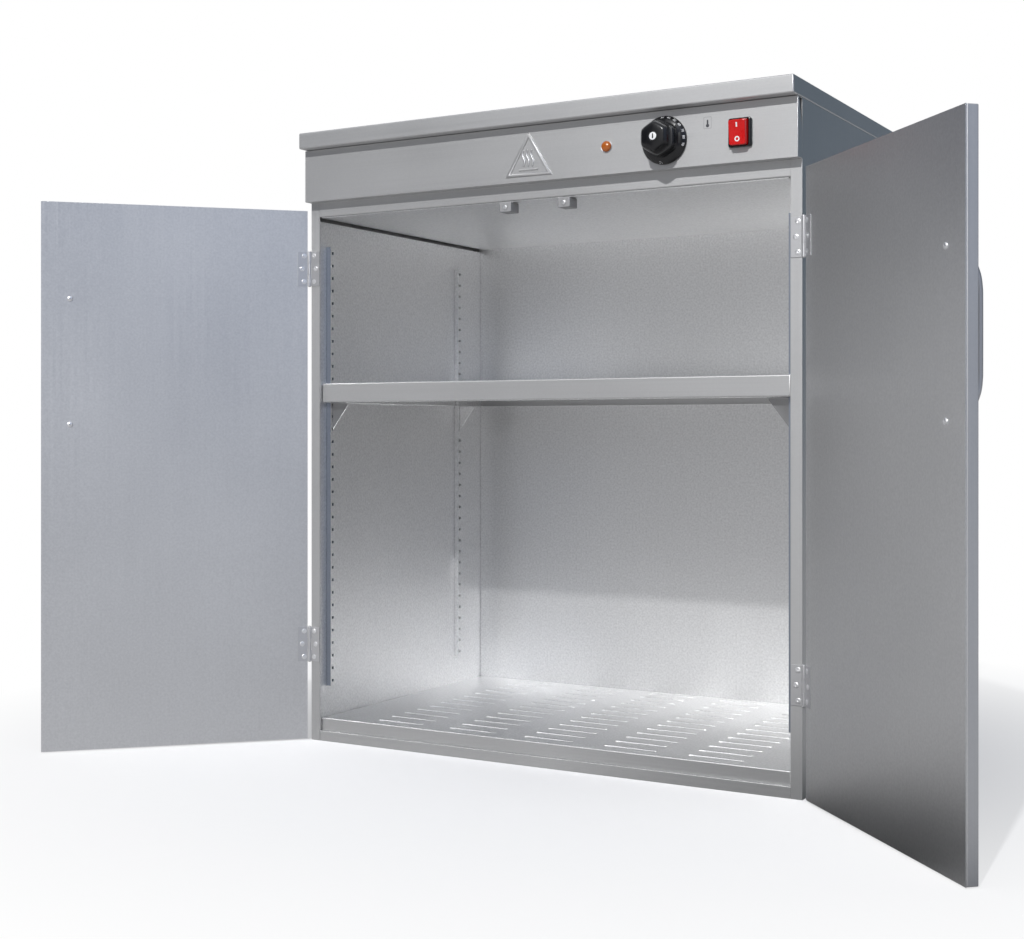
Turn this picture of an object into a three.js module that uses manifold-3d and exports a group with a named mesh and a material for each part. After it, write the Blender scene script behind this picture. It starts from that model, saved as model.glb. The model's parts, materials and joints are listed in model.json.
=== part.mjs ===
// A two-door food holding cabinet (plate warmer) in folded sheet steel.
// Millimetres, +Z up. The origin is the centre of the body's footprint, on the floor.
// The doors face -Y and stand open.

import * as THREE from 'three';
import { mergeVertices } from 'three/addons/utils/BufferGeometryUtils.js';
import Module from 'manifold-3d';

const wasm = await Module();
wasm.setup();

// ---------------------------------------------------------------- driving dimensions

const width = 750;
const bodyDepth = 450;
const height = 882;
const sheet = 1;              // thickness of every folded sheet
const gap = 0.3;              // clearance between neighbouring pieces
const past = 1;               // how far a cutting shape runs on past the sheet it cuts

const worktopLip = 23;
const worktopOverhang = 30;
const stiffenerWidth = 60;
const stiffenerInset = 5;     // each end of the stiffener, inside the opening's side
const stiffenerRise = 9;      // above the worktop's lower edge
const stileWidth = 15;
const bottomRailHeight = 14.5;
const openingTop = 763;
const topRailDepth = 20;
const topRailLap = 5;         // how far the top rail runs up behind the control panel
const topRailGap = 0.1;

const panelBottom = 784;
const panelTop = 858.5;
const panelProud = 15;
const cheekFull = 818;        // the panel's cheeks have their full depth up to here
const cheekTopDepth = 4;
const controlHeight = 820;    // the line that the controls sit on
const knobX = 198;
const lampX = 115.5;
const switchX = 301;

const ceilingUnderside = 761.7;
const ceilingWallGap = 3;
const ceilingFlange = 20;
const wallTopGap = 4.5;       // open slot between the top of each wall and the ceiling
const baseLedge = 18;         // width of the ledge that carries the floor tray
const wiringNotch = 16;       // width of the notch for the wiring
const liningSetback = 4;      // the tray and the shelf start this far behind the front frame
const trayTop = 33;
const trayWallGap = 1;
const shelfTop = 521;
const shelfLip = 28;
const shelfReturn = 12;       // width of the flange under the shelf's lip
const shelfWallGap = 1.2;
const shelfRailGap = 1;

const doorWidth = 373;
const doorTop = 773.4;
const doorFloorGap = 1.5;
const doorThickness = 14.2;
const leftDoorOpen = 134.7;   // degrees from closed
const rightDoorOpen = 133.9;
const doorReturn = 8.5;       // width of the flange inside the outer skin's rim

const handleHeight = 549;     // centre of the handle
const handleLength = 188;
const handleScrewSpacing = 177;
const handleFromEdge = 39;
const handleProud = 25.5;
const handleWidth = 14;
const handleScrewRadius = 2;
const handleScrewBore = 2.3;
const handleScrewReach = 4;   // how far each screw runs into the handle
const handleScrewHead = [[0, 2.4], [2, 2.1], [3.3, 1.3], [3.8, gap]];   // radius, height

const hingeHeights = { lower: 115, upper: 663.5 };
const hingeLength = 50;
const leafWidth = 14.5;
const leafThickness = 0.9;
const leafSeat = 0.2;         // gap between a leaf and the sheet behind it
const pinRadius = 1.2;
const pinBore = 1.5;
const pinHeadRadius = 2.2;
const pinHeadHeight = 1;
const knuckleRadius = 2.6;
const pinOutboard = 2.5;      // pin axis outside the body's side
const pinForward = 1.65;      // pin axis in front of the front frame

const railWidth = 10;
const railProud = 8;
const railBottom = 78;
const railTop = 721;
const railFrontSetback = 20.5;
const railRearSetback = 370.6;
const railHoleCount = 35;
const railHoleStart = 85.5;
const railHolePitch = 18.43;
const railHoleSize = 4;
const clipHoles = [20, 22];   // the rail holes that hold a shelf clip
const clipReach = 28;
const clipThickness = 1.2;
const clipFlangeWidth = 12;
const clipNose = 3;           // height of the clip's tip
const clipHookReach = 4;

const slotRows = 13;
const slotColumns = 5;
const slotLength = 75;
const slotWidth = 3.2;
const slotPitchX = 121.6;
const slotPitchY = 33.1;
const slotShift = 7;          // the rows of slots sit this far right of the middle
const slotFirstSetback = 30;

const doorCatch = { x: 45, halfWidth: 9, height: 13, depth: 22, proud: 2 };
const magnetRadius = 4;
const magnetProud = 0.8;

const knob = { standoff: 0.6, skirtRadius: 30.8, rim: 2.5, skirtDepth: 7, gripRadius: 24.8 };
// The knob's grip from its widest edge to its face: radius, distance in front of the panel.
const gripFront = [[24.8, 21], [23.4, 28], [20.5, 34], [17.5, 36.6], [0, 37]];
const shaftRadius = 3;
const shaftLength = 22;
const shaftBoreGap = 0.4;
const shaftHoleGap = 1.5;
const thermostat = { halfWidth: 20, halfHeight: 17, depth: 26 };
const capillaryRadius = 1.2;
const capillaryBend = 30;
const bulbRadius = 3.5;
const bulbLength = 80;
const bulbY = -90;

const lensStem = 4.5;
const lensDome = [[7.8, gap], [7.8, 1.6], [6.2, 3.6], [3.4, 5], [0, 5.5]];   // radius, height
const lampBodyRadius = 5.5;
const lampBodyDepth = 24;

const bezel = { halfWidth: 15.4, halfHeight: 18.2, proud: 5 };
const rocker = { halfWidth: 11.3, halfHeight: 15.8, proud: 14.5, dish: 1.2, tiltOff: 7 };
const rockerEndGap = 0.7;
const rockerPivot = 3;        // in front of the panel
const rockerBack = 1;
const switchWellDepth = 4;
const switchDepth = 24;
const housingWall = 1.1;

const elementZ = 15;
const elementRadius = 4;
const elementRuns = [-120, -40, 40, 120];
const elementEnd = 290;       // where both ends of the element come out
const elementBends = [255, -285];
const bracketX = 150;
const bracketThickness = 1.5;
const bracketFoot = 14;
const bracketMargin = 14;     // of the bracket past the outer runs
const bracketRise = 8;        // of the bracket above the element's middle
const terminalX = [308, 332];
const terminalHalf = 24;
const terminalTop = 14;
const terminalWell = { pitch: 15, radius: 3, floor: 7 };

const cordX = 300;
const cordZ = 800;
const cordRadius = 4;
const cordBend = 10;
const cordRise = [50, 20];    // where the cord starts and stops rising, along from the plug
const cordStandoff = 20;      // behind the back panel
const glandStemRadius = 7;
const gland = { inside: 12, outside: 9, collarRadius: 11, collarDepth: 8 };
const loomRadius = 3;
const loomX = 240;            // where the loom ends behind the control panel
const loomY = -170;
const plugX = -60;
const plugRadius = 16;
const plugSocket = 14;        // how far the cord runs into the plug
// The plug's body from its sleeve to its face: radius, distance along.
const plugProfile = [[0, 0], [6.5, 0], [8, 16], [13, 24], [plugRadius, 30], [plugRadius, 44], [0, 44]];
const plugPin = { offset: 9.5, radius: 2.4, start: 40, end: 64 };

// ---------------------------------------------------------------- derived places

const sideX = width / 2;
const frontY = -bodyDepth / 2;
const backY = bodyDepth / 2;
const openingX = sideX - stileWidth;
const worktopBottom = height - worktopLip;
const panelFaceY = frontY - panelProud;
const bodyTop = worktopBottom - gap;
const liningRear = backY - sheet - gap;
const shelfBottom = shelfTop - shelfLip;
const shelfX = openingX - shelfWallGap;
const trayX = openingX - trayWallGap;
const liningFront = frontY + liningSetback;
const wiringHalf = wiringNotch / 2;
const pinX = sideX + pinOutboard;
const pinY = frontY - pinForward;
const railYs = { front: frontY + railFrontSetback, rear: frontY + railRearSetback };

// ---------------------------------------------------------------- finishes

function finish(color, roughness, metalness) {
  return new THREE.MeshStandardMaterial({ color, roughness, metalness });
}

const brushedSteel = finish(0xb9bbbe, 0.35, 1);
const darkSteel = finish(0x6c757e, 0.35, 1);
const galvanised = finish(0xa6a8aa, 0.5, 1);
const zincPlate = finish(0xc9cbcd, 0.3, 1);
const blackPlastic = finish(0x0c0c0e, 0.25, 0);
const redPlastic = finish(0xc80404, 0.3, 0);
const amberPlastic = finish(0xc8550f, 0.2, 0);
const greyPlastic = finish(0x9a9c9e, 0.45, 0);
const whiteCeramic = finish(0xe6e2d8, 0.5, 0);
const cordRubber = finish(0x141416, 0.7, 0);
const copper = finish(0xb87345, 0.35, 1);
const elementSteel = finish(0x57524e, 0.5, 1);

// ---------------------------------------------------------------- shapes and booleans

const cabinet = new THREE.Group();

function box([x0, x1], [y0, y1], [z0, z1]) {
  const geometry = new THREE.BoxGeometry(x1 - x0, y1 - y0, z1 - z0);
  return geometry.translate((x0 + x1) / 2, (y0 + y1) / 2, (z0 + z1) / 2);
}

function around(middle, half) {
  return [middle - half, middle + half];
}

// A round bar or hole along Y from y0 to y1.
function roundY(x, z, radius, [y0, y1], sides = 12) {
  const geometry = new THREE.CylinderGeometry(radius, radius, y1 - y0, sides);
  return geometry.translate(x, (y0 + y1) / 2, z);
}

// A round bar or hole along Z from z0 to z1.
function roundZ(x, y, radius, [z0, z1], sides = 12) {
  const geometry = new THREE.CylinderGeometry(radius, radius, z1 - z0, sides);
  return geometry.rotateX(Math.PI / 2).translate(x, y, (z0 + z1) / 2);
}

// A round bar or hole along X from x0 to x1.
function roundX(y, z, radius, [x0, x1], sides = 12) {
  const geometry = new THREE.CylinderGeometry(radius, radius, x1 - x0, sides);
  return geometry.rotateZ(Math.PI / 2).translate((x0 + x1) / 2, y, z);
}

// A flat plate cut to an outline drawn in X and Z, filling y0 to y1.
function plateXZ(outline, [y0, y1]) {
  const shape = new THREE.Shape(outline.map(([x, z]) => new THREE.Vector2(x, z)));
  const geometry = new THREE.ExtrudeGeometry(shape, { depth: y1 - y0, bevelEnabled: false });
  return geometry.rotateX(Math.PI / 2).translate(0, y1, 0);
}

// A flat plate cut to an outline drawn in Y and Z, filling x0 to x1.
function plateYZ(outline, [x0, x1]) {
  const shape = new THREE.Shape(outline.map(([y, z]) => new THREE.Vector2(y, z)));
  const geometry = new THREE.ExtrudeGeometry(shape, { depth: x1 - x0, bevelEnabled: false });
  return geometry.rotateX(Math.PI / 2).rotateZ(Math.PI / 2).translate(x0, 0, 0);
}

// A turned piece on an axis along -Y, from [radius, distance in front of y] pairs.
function turned(profile, x, y, z, sides) {
  const points = profile.map(([radius, forward]) => new THREE.Vector2(radius, forward));
  return new THREE.LatheGeometry(points, sides).rotateX(Math.PI).translate(x, y, z);
}

function toSolid(geometry) {
  const bare = geometry.clone();
  bare.deleteAttribute('normal');
  bare.deleteAttribute('uv');
  const merged = mergeVertices(bare, 1e-4);
  const vertProperties = new Float32Array(merged.attributes.position.array);
  const triVerts = new Uint32Array(merged.index.array);
  return new wasm.Manifold(new wasm.Mesh({ numProp: 3, vertProperties, triVerts }));
}

function toGeometry(solid) {
  const mesh = solid.getMesh();
  const geometry = new THREE.BufferGeometry();
  geometry.setAttribute('position', new THREE.BufferAttribute(mesh.vertProperties, 3));
  geometry.setIndex(new THREE.BufferAttribute(mesh.triVerts, 1));
  geometry.computeVertexNormals();
  return geometry;
}

function join(...geometries) {
  return toGeometry(geometries.map(toSolid).reduce((whole, piece) => whole.add(piece)));
}

function cut(geometry, ...tools) {
  return toGeometry(tools.map(toSolid).reduce((whole, tool) => whole.subtract(tool), toSolid(geometry)));
}

// The mirror image in the plane x = 0, with its faces still pointing out.
function mirrored(geometry) {
  const copy = mergeVertices(geometry.clone().scale(-1, 1, 1), 1e-5);
  const order = copy.index.array;
  for (let i = 0; i < order.length; i += 3) {
    [order[i], order[i + 1]] = [order[i + 1], order[i]];
  }
  return copy;
}

function add(name, material, geometry, parent = cabinet) {
  const mesh = new THREE.Mesh(geometry, material);
  mesh.name = name;
  parent.add(mesh);
}

// The right-hand piece and its mirror image on the left.
function addPair(name, material, geometry, right = cabinet, left = cabinet) {
  add(`right_${name}`, material, geometry, right);
  add(`left_${name}`, material, mirrored(geometry), left);
}

// A curve that visits its points one after another, one step of t to each.
class Route extends THREE.Curve {
  constructor(points) {
    super();
    this.points = points;
  }

  getPoint(t) {
    const step = t * (this.points.length - 1);
    const i = Math.min(Math.floor(step), this.points.length - 2);
    return this.points[i].clone().lerp(this.points[i + 1], step - i);
  }

  getPointAt(u) {
    return this.getPoint(u);
  }

  getTangentAt(u) {
    const i = Math.round(u * (this.points.length - 1));
    const before = this.points[Math.max(i - 1, 0)];
    const after = this.points[Math.min(i + 1, this.points.length - 1)];
    return after.clone().sub(before).normalize();
  }
}

// A round tube or cable through the corners, each corner bent to a radius.
function tube(corners, radius, bend, sides = 8) {
  const places = corners.map((corner) => new THREE.Vector3(...corner));
  const points = [places[0]];
  for (let i = 1; i < places.length - 1; i += 1) {
    const start = places[i].clone().add(places[i - 1].clone().sub(places[i]).setLength(bend));
    const end = places[i].clone().add(places[i + 1].clone().sub(places[i]).setLength(bend));
    points.push(...new THREE.QuadraticBezierCurve3(start, places[i], end).getPoints(5));
  }
  points.push(places[places.length - 1]);
  const section = new THREE.Shape();
  for (let i = 0; i < sides; i += 1) {
    const angle = (2 * Math.PI * i) / sides;
    const [x, y] = [radius * Math.cos(angle), radius * Math.sin(angle)];
    if (i === 0) section.moveTo(x, y);
    else section.lineTo(x, y);
  }
  const extrudePath = new Route(points);
  return new THREE.ExtrudeGeometry(section, { steps: points.length - 1, extrudePath });
}

// ---------------------------------------------------------------- casing

function addWorktop() {
  const frontEdge = frontY - worktopOverhang;
  const inside = [-sideX + sheet, sideX - sheet];
  const shell = box([-sideX, sideX], [frontEdge, backY], [worktopBottom, height]);
  const hollow = box(inside, [frontEdge + sheet, backY - sheet], [worktopBottom + sheet, height - sheet]);
  const mouth = box([-openingX, openingX], [frontY - sheet, backY - stileWidth],
    [worktopBottom - past, worktopBottom + sheet + past]);
  add('worktop', brushedSteel, cut(shell, hollow, mouth));

  const x = openingX - stiffenerInset;
  const y = stiffenerWidth / 2;
  const [low, high] = [worktopBottom + stiffenerRise, height - sheet - gap];
  const channel = box([-x, x], [-y, y], [low, high]);
  const inner = box([-x - past, x + past], [-y + sheet, y - sheet], [low - past, high - sheet]);
  add('worktop_stiffener', galvanised, cut(channel, inner));
}

function addSidePanels() {
  const skin = box([sideX - sheet, sideX], [frontY, backY], [0, bodyTop]);
  const stile = box([openingX, sideX], [frontY, frontY + sheet], [0, bodyTop]);
  const rearFlangeY = backY - sheet - gap;
  const clearOfLining = openingX + sheet + gap;
  const clearOfBase = sheet + gap;
  const rearFlange = box([clearOfLining, sideX], [rearFlangeY - sheet, rearFlangeY], [clearOfBase, bodyTop]);
  addPair('side_panel', darkSteel, join(skin, stile, rearFlange));
}

function addInnerPanels() {
  const span = [openingX, openingX + sheet];
  const wall = box(span, [frontY + sheet + gap, liningRear], [sheet + gap, ceilingUnderside - wallTopGap]);
  const notch = box([openingX - past, openingX + sheet + past], [-wiringHalf, wiringHalf],
    [0, bottomRailHeight + past]);
  addPair('inner_panel', galvanised, cut(wall, notch));
}

function addBackPanel() {
  const x = sideX - sheet - gap;
  const panel = box([-x, x], [backY - sheet, backY], [0, bodyTop]);
  const cableHole = roundY(cordX, cordZ, glandStemRadius + gap, [backY - sheet - past, backY + past]);
  add('back_panel', galvanised, cut(panel, cableHole));
}

function addBasePan() {
  const outer = sideX - sheet - gap;
  const frameX = openingX - gap;
  const ledgeX = frameX - baseLedge;
  const [rear, top] = [liningRear, bottomRailHeight];
  const floor = box([-outer, outer], [frontY + sheet + gap, rear], [0, sheet]);
  const rim = box([-frameX, frameX], [frontY, rear], [0, top]);
  const hollow = box([-frameX + sheet, frameX - sheet], [frontY + sheet, rear - sheet], [sheet, top - sheet]);
  const mouth = box([-ledgeX, ledgeX], [frontY + baseLedge, rear - baseLedge], [sheet, top + past]);
  const notch = box([ledgeX - past, frameX + past], [-wiringHalf, wiringHalf], [sheet, top + past]);
  add('base_pan', galvanised, cut(join(floor, rim), hollow, mouth, notch));
}

function addTopRail() {
  const x = openingX - topRailGap;
  const [rear, top] = [frontY + topRailDepth, panelBottom + topRailLap];
  const bar = box([-x, x], [frontY, rear], [openingTop, top]);
  const hollow = box([-x - past, x + past], [frontY + sheet, rear + past], [openingTop + sheet, top - sheet]);
  add('top_rail', brushedSteel, cut(bar, hollow));
}

function addCeiling() {
  const x = openingX - ceilingWallGap;
  const flangeTop = ceilingUnderside + ceilingFlange;
  const tray = box([-x, x], [frontY + sheet + gap, liningRear], [ceilingUnderside, flangeTop]);
  const hollow = box([-x + sheet, x - sheet], [frontY, backY], [ceilingUnderside + sheet, flangeTop + past]);
  const railNotch = box([-sideX, sideX], [frontY, frontY + topRailDepth + 2 * sheet],
    [ceilingUnderside + sheet, flangeTop + past]);
  add('ceiling_panel', galvanised, cut(tray, hollow, railNotch));
}

// ---------------------------------------------------------------- heated space

function slot(x, y) {
  const half = slotLength / 2;
  const [w, end] = [slotWidth / 2, half - slotWidth / 2];
  const outline = [[-half, 0], [-end, -w], [end, -w], [half, 0], [end, w], [-end, w]];
  const shape = new THREE.Shape(outline.map(([a, b]) => new THREE.Vector2(x + a, y + b)));
  const geometry = new THREE.ExtrudeGeometry(shape, { depth: sheet + 2 * past, bevelEnabled: false });
  return geometry.translate(0, 0, trayTop - sheet - past);
}

function addFloorTray() {
  const low = bottomRailHeight + gap;
  const rear = liningRear - gap;
  const shell = box([-trayX, trayX], [liningFront, rear], [low, trayTop]);
  const hollow = box([-trayX + sheet, trayX - sheet], [liningFront + sheet, rear - sheet],
    [low - past, trayTop - sheet]);
  const slots = [];
  for (let column = 0; column < slotColumns; column += 1) {
    for (let row = 0; row < slotRows; row += 1) {
      const x = slotShift + (column - (slotColumns - 1) / 2) * slotPitchX;
      slots.push(slot(x, frontY + slotFirstSetback + row * slotPitchY));
    }
  }
  add('floor_tray', galvanised, cut(shell, hollow, ...slots));
}

function addShelf() {
  const rear = liningRear - gap;
  const mouthX = shelfX - shelfReturn;
  const shell = box([-shelfX, shelfX], [liningFront, rear], [shelfBottom, shelfTop]);
  const hollow = box([-shelfX + sheet, shelfX - sheet], [liningFront + sheet, rear - sheet],
    [shelfBottom + sheet, shelfTop - sheet]);
  const mouth = box([-mouthX, mouthX], [liningFront + shelfReturn, rear - shelfReturn],
    [shelfBottom - past, shelfBottom + sheet + past]);
  const reach = openingX - railProud - shelfRailGap;
  const half = railWidth / 2 + shelfRailGap;
  const notches = [];
  for (const y of Object.values(railYs)) {
    const spans = [[y - half, y + half], [shelfBottom - past, shelfTop + past]];
    notches.push(box([reach, sideX], ...spans), box([-sideX, -reach], ...spans));
  }
  add('shelf', galvanised, cut(shell, hollow, mouth, ...notches));
}

function railHole(index) {
  const z = railHoleStart + index * railHolePitch;
  return [z - railHoleSize / 2, z + railHoleSize / 2];
}

function addRailsAndClips() {
  const face = openingX - railProud;
  const half = railWidth / 2;
  const hole = railHoleSize / 2;
  const web = clipThickness / 2;
  const top = shelfBottom - gap;
  const [wallSide, tip] = [face - gap, face - clipReach];
  const foot = railHoleStart + clipHoles[0] * railHolePitch;
  for (const [place, y] of Object.entries(railYs)) {
    const channel = box([face, openingX - gap], [y - half, y + half], [railBottom, railTop]);
    const hollow = box([face + sheet, openingX], [y - half + sheet, y + half - sheet],
      [railBottom - past, railTop + past]);
    const holes = [];
    for (let i = 0; i < railHoleCount; i += 1) {
      holes.push(box([face - past, face + sheet + past], [y - hole, y + hole], railHole(i)));
    }
    addPair(`${place}_shelf_rail`, galvanised, cut(channel, hollow, ...holes));

    const gussetOutline = [[wallSide, foot], [wallSide, top], [tip, top], [tip, top - clipNose]];
    const gusset = plateXZ(gussetOutline, [y - web, y + web]);
    const flange = box([tip, wallSide], around(y, clipFlangeWidth / 2), [top - sheet, top]);
    const hooks = clipHoles.map((index) => {
      const [low, high] = railHole(index);
      return box([wallSide - past, face + clipHookReach], [y - web, y + web], [low + gap, high - 2 * gap]);
    });
    addPair(`${place}_shelf_clip`, zincPlate, join(gusset, flange, ...hooks));
  }
}

function addCatches() {
  const { x, halfWidth, depth } = doorCatch;
  const top = ceilingUnderside - gap;
  const front = frontY - doorCatch.proud;
  const body = box([x - halfWidth, x + halfWidth], [front, front + depth], [top - doorCatch.height, top]);
  const magnet = roundY(x, top - doorCatch.height / 2, magnetRadius, [front - magnetProud, front + past], 16);
  addPair('door_catch', greyPlastic, join(body, magnet));
}

// ---------------------------------------------------------------- doors and hinges

function doorGroup(side, degrees) {
  const group = new THREE.Group();
  group.position.set(side * pinX, pinY, 0);
  group.rotation.z = side * THREE.MathUtils.degToRad(degrees);
  cabinet.add(group);
  return group;
}

// The doors are drawn closed, measured from their hinge pins, then turned open by their groups.
const doorInnerFace = -pinForward;
const doorOuterFace = doorInnerFace - doorThickness;
const handleX = -pinOutboard - doorWidth + handleFromEdge;
const handleScrewZs = [handleHeight - handleScrewSpacing / 2, handleHeight + handleScrewSpacing / 2];

function addDoors(right, left) {
  const xs = [-pinOutboard - doorWidth, -pinOutboard];
  const zs = [doorFloorGap, doorTop];
  const rimY = doorInnerFace - sheet - gap;
  const shrunk = ([low, high], amount) => [low + amount, high - amount];

  const shell = box(xs, [doorOuterFace, rimY], zs);
  const hollow = box(shrunk(xs, sheet), [doorOuterFace + sheet, rimY - sheet], shrunk(zs, sheet));
  const mouth = box(shrunk(xs, doorReturn), [rimY - sheet - past, rimY + past], shrunk(zs, doorReturn));
  const holes = handleScrewZs.map((z) => roundY(handleX, z, handleScrewBore, [doorOuterFace - past, 0]));
  addPair('door_outer_skin', brushedSteel, cut(shell, hollow, mouth, ...holes), right, left);
  const skin = box(xs, [doorInnerFace - sheet, doorInnerFace], zs);
  addPair('door_inner_skin', galvanised, cut(skin, ...holes), right, left);
}

function addHandles(right, left) {
  const seat = doorOuterFace - gap;
  const end = handleLength / 2;
  // Half of the bow's outer and inner edge: distance in from the end, distance off the door.
  const outer = [[0, 0], [0, 5], [20, 15.5], [31, 21.5], [44, 24.6], [56, handleProud]];
  const inner = [[56, 17.5], [44, 16.6], [33, 14], [26, 9.5], [14, 2.5], [14, 0]];
  const upperHalf = (edge) => edge.map(([along, proud]) => [seat - proud, handleHeight + end - along]);
  const lowerHalf = (edge) => (
    edge.map(([along, proud]) => [seat - proud, handleHeight - end + along]).reverse());
  const outline = [...upperHalf(outer), ...lowerHalf(outer), ...lowerHalf(inner), ...upperHalf(inner)];
  const bar = plateYZ(outline, [handleX - handleWidth / 2, handleX + handleWidth / 2]);
  const tapped = handleScrewZs.map((z) => (
    roundY(handleX, z, handleScrewBore, [seat - handleScrewReach - past, seat + past])));
  addPair('door_handle', brushedSteel, cut(bar, ...tapped), right, left);

  const shankEnd = doorInnerFace - seat + handleScrewReach;
  const screw = [...handleScrewHead.map(([radius, rise]) => [radius, -rise]),
    [handleScrewRadius, -gap], [handleScrewRadius, shankEnd], [0, shankEnd]];
  for (const [i, place] of ['lower', 'upper'].entries()) {
    const shape = turned(screw, handleX, doorInnerFace, handleScrewZs[i], 12);
    addPair(`handle_${place}_screw`, zincPlate, shape, right, left);
  }
}

function addHinges(right, left) {
  const knuckle = (hingeLength - 2 * gap) / 3;
  const plateEdge = -knuckleRadius - gap;
  for (const [place, z] of Object.entries(hingeHeights)) {
    const frameKnuckles = [[z, z + knuckle], [z + 2 * (knuckle + gap), z + hingeLength]];
    const doorKnuckles = [[z + knuckle + gap, z + 2 * knuckle + gap]];

    // direction is +1 for the leaf on the frame, behind the pin, and -1 for the leaf on the door.
    const leaf = (direction, knuckles) => {
      const back = pinForward - leafSeat;
      const ys = [direction * back, direction * (back - leafThickness)].sort((a, b) => a - b);
      const plate = box([-pinOutboard - leafWidth, plateEdge], ys, [z, z + hingeLength]);
      const rolls = knuckles.map((zs) => roundZ(0, 0, knuckleRadius, zs));
      const webs = knuckles.map((zs) => box([plateEdge - past, 0], ys, zs));
      const bore = roundZ(0, 0, pinBore, [z - past, z + hingeLength + past]);
      return cut(join(plate, ...rolls, ...webs), bore);
    };
    const onFrame = leaf(1, frameKnuckles).translate(pinX, pinY, 0);
    addPair(`${place}_hinge_frame_leaf`, zincPlate, onFrame);
    addPair(`${place}_hinge_door_leaf`, zincPlate, leaf(-1, doorKnuckles), right, left);

    const [low, high] = [z - gap, z + hingeLength + gap];
    const intoHead = pinHeadHeight / 2;
    const pin = join(
      roundZ(pinX, pinY, pinRadius, [low - intoHead, high + intoHead], 10),
      roundZ(pinX, pinY, pinHeadRadius, [low - pinHeadHeight, low], 10),
      roundZ(pinX, pinY, pinHeadRadius, [high, high + pinHeadHeight], 10),
    );
    addPair(`${place}_hinge_pin`, zincPlate, pin);
  }
}

// ---------------------------------------------------------------- controls

const mouthX = rocker.halfWidth + gap;
const mouthZ = rocker.halfHeight + rockerEndGap;
const [switchCaseX, switchCaseZ] = [mouthX + housingWall, mouthZ + housingWall];
const behindPanel = panelFaceY + sheet + gap;

function addControlPanel() {
  const rear = frontY - gap;
  const shell = box([-sideX, sideX], [panelFaceY, rear], [panelBottom, panelTop]);
  const hollow = box([-sideX + sheet, sideX - sheet], [panelFaceY + sheet, rear + past],
    [panelBottom + sheet, panelTop - sheet]);
  const top = panelTop - sheet;
  const taper = plateYZ([[rear + past, cheekFull], [panelFaceY + cheekTopDepth, top], [rear + past, top]],
    [-sideX - past, sideX + past]);
  const through = [panelFaceY - past, panelFaceY + sheet + past];
  const shaftHole = roundY(knobX, controlHeight, shaftRadius + shaftHoleGap, through);
  const lampHole = roundY(lampX, controlHeight, lensStem + gap, through);
  const switchHole = box(around(switchX, switchCaseX + gap), through,
    around(controlHeight, switchCaseZ + gap));
  add('control_panel', brushedSteel, cut(shell, hollow, taper, shaftHole, lampHole, switchHole));
}

function addThermostat() {
  const { standoff, skirtRadius, gripRadius } = knob;
  const skirtFront = standoff + knob.skirtDepth;
  const skirt = turned([[0, standoff], [skirtRadius, standoff], [skirtRadius, standoff + knob.rim],
    [gripRadius + 1, skirtFront], [0, skirtFront]], knobX, panelFaceY, controlHeight, 36);
  const grip = turned([[0, skirtFront - past], [gripRadius, skirtFront - past], ...gripFront],
    knobX, panelFaceY, controlHeight, 6);
  const boreDepth = panelFaceY - standoff - shaftLength;
  const bore = roundY(knobX, controlHeight, shaftRadius + shaftBoreGap, [boreDepth, panelFaceY]);
  add('thermostat_knob', blackPlastic, cut(join(skirt, grip), bore));

  const bodyRear = behindPanel + thermostat.depth;
  const bodyCase = box(around(knobX, thermostat.halfWidth), [behindPanel, bodyRear],
    around(controlHeight, thermostat.halfHeight));
  const shaft = roundY(knobX, controlHeight, shaftRadius, [boreDepth + past, behindPanel + past]);
  add('thermostat_body', greyPlastic, join(bodyCase, shaft));

  const bulbZ = ceilingUnderside + sheet + bulbRadius + gap;
  const tailZ = controlHeight - thermostat.halfHeight / 2;
  const bulbStart = knobX - 2 * thermostat.halfWidth;
  const capillary = tube([[knobX, bodyRear + gap, tailZ], [knobX, bulbY - 2 * capillaryBend, tailZ],
    [knobX, bulbY - capillaryBend, bulbZ], [bulbStart, bulbY, bulbZ]], capillaryRadius, capillaryBend / 2, 6);
  const bulb = tube([[bulbStart + past, bulbY, bulbZ], [bulbStart - bulbLength / 4, bulbY, bulbZ],
    [bulbStart - bulbLength, bulbY, bulbZ]], bulbRadius, 2, 10);
  add('sensor_bulb', copper, join(capillary, bulb));
}

function addSwitch() {
  const face = panelFaceY - bezel.proud;
  const frame = box(around(switchX, bezel.halfWidth), [face, panelFaceY - gap],
    around(controlHeight, bezel.halfHeight));
  const housing = box(around(switchX, switchCaseX), [face + past, panelFaceY + switchDepth],
    around(controlHeight, switchCaseZ));
  const well = box(around(switchX, mouthX), [face - past, panelFaceY + switchWellDepth],
    around(controlHeight, mouthZ));
  add('switch_housing', blackPlastic, cut(join(frame, housing), well));

  // The rocker tips about a pin along X; at rest its lower end is pressed in.
  const { halfWidth, halfHeight, dish } = rocker;
  const [front, back] = [rockerPivot - rocker.proud, rockerPivot - rockerBack];
  const outline = [[front, -halfHeight], [back, -halfHeight], [back, halfHeight], [front, halfHeight],
    [front + dish, 0]];
  const tipped = new THREE.Group();
  tipped.position.set(switchX, panelFaceY - rockerPivot, controlHeight);
  tipped.rotation.x = THREE.MathUtils.degToRad(rocker.tiltOff);
  cabinet.add(tipped);
  add('switch_rocker', redPlastic, join(plateYZ(outline, [-halfWidth, halfWidth])), tipped);
}

function addPilotLamp() {
  const inside = -sheet - gap / 2;
  const profile = [[0, inside], [lensStem, inside], [lensStem, gap], ...lensDome];
  add('pilot_lamp_lens', amberPlastic, turned(profile, lampX, panelFaceY, controlHeight, 20));
  const body = roundY(lampX, controlHeight, lampBodyRadius, [behindPanel, behindPanel + lampBodyDepth], 16);
  add('pilot_lamp_body', greyPlastic, body);
}

// ---------------------------------------------------------------- heating and wiring

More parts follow.
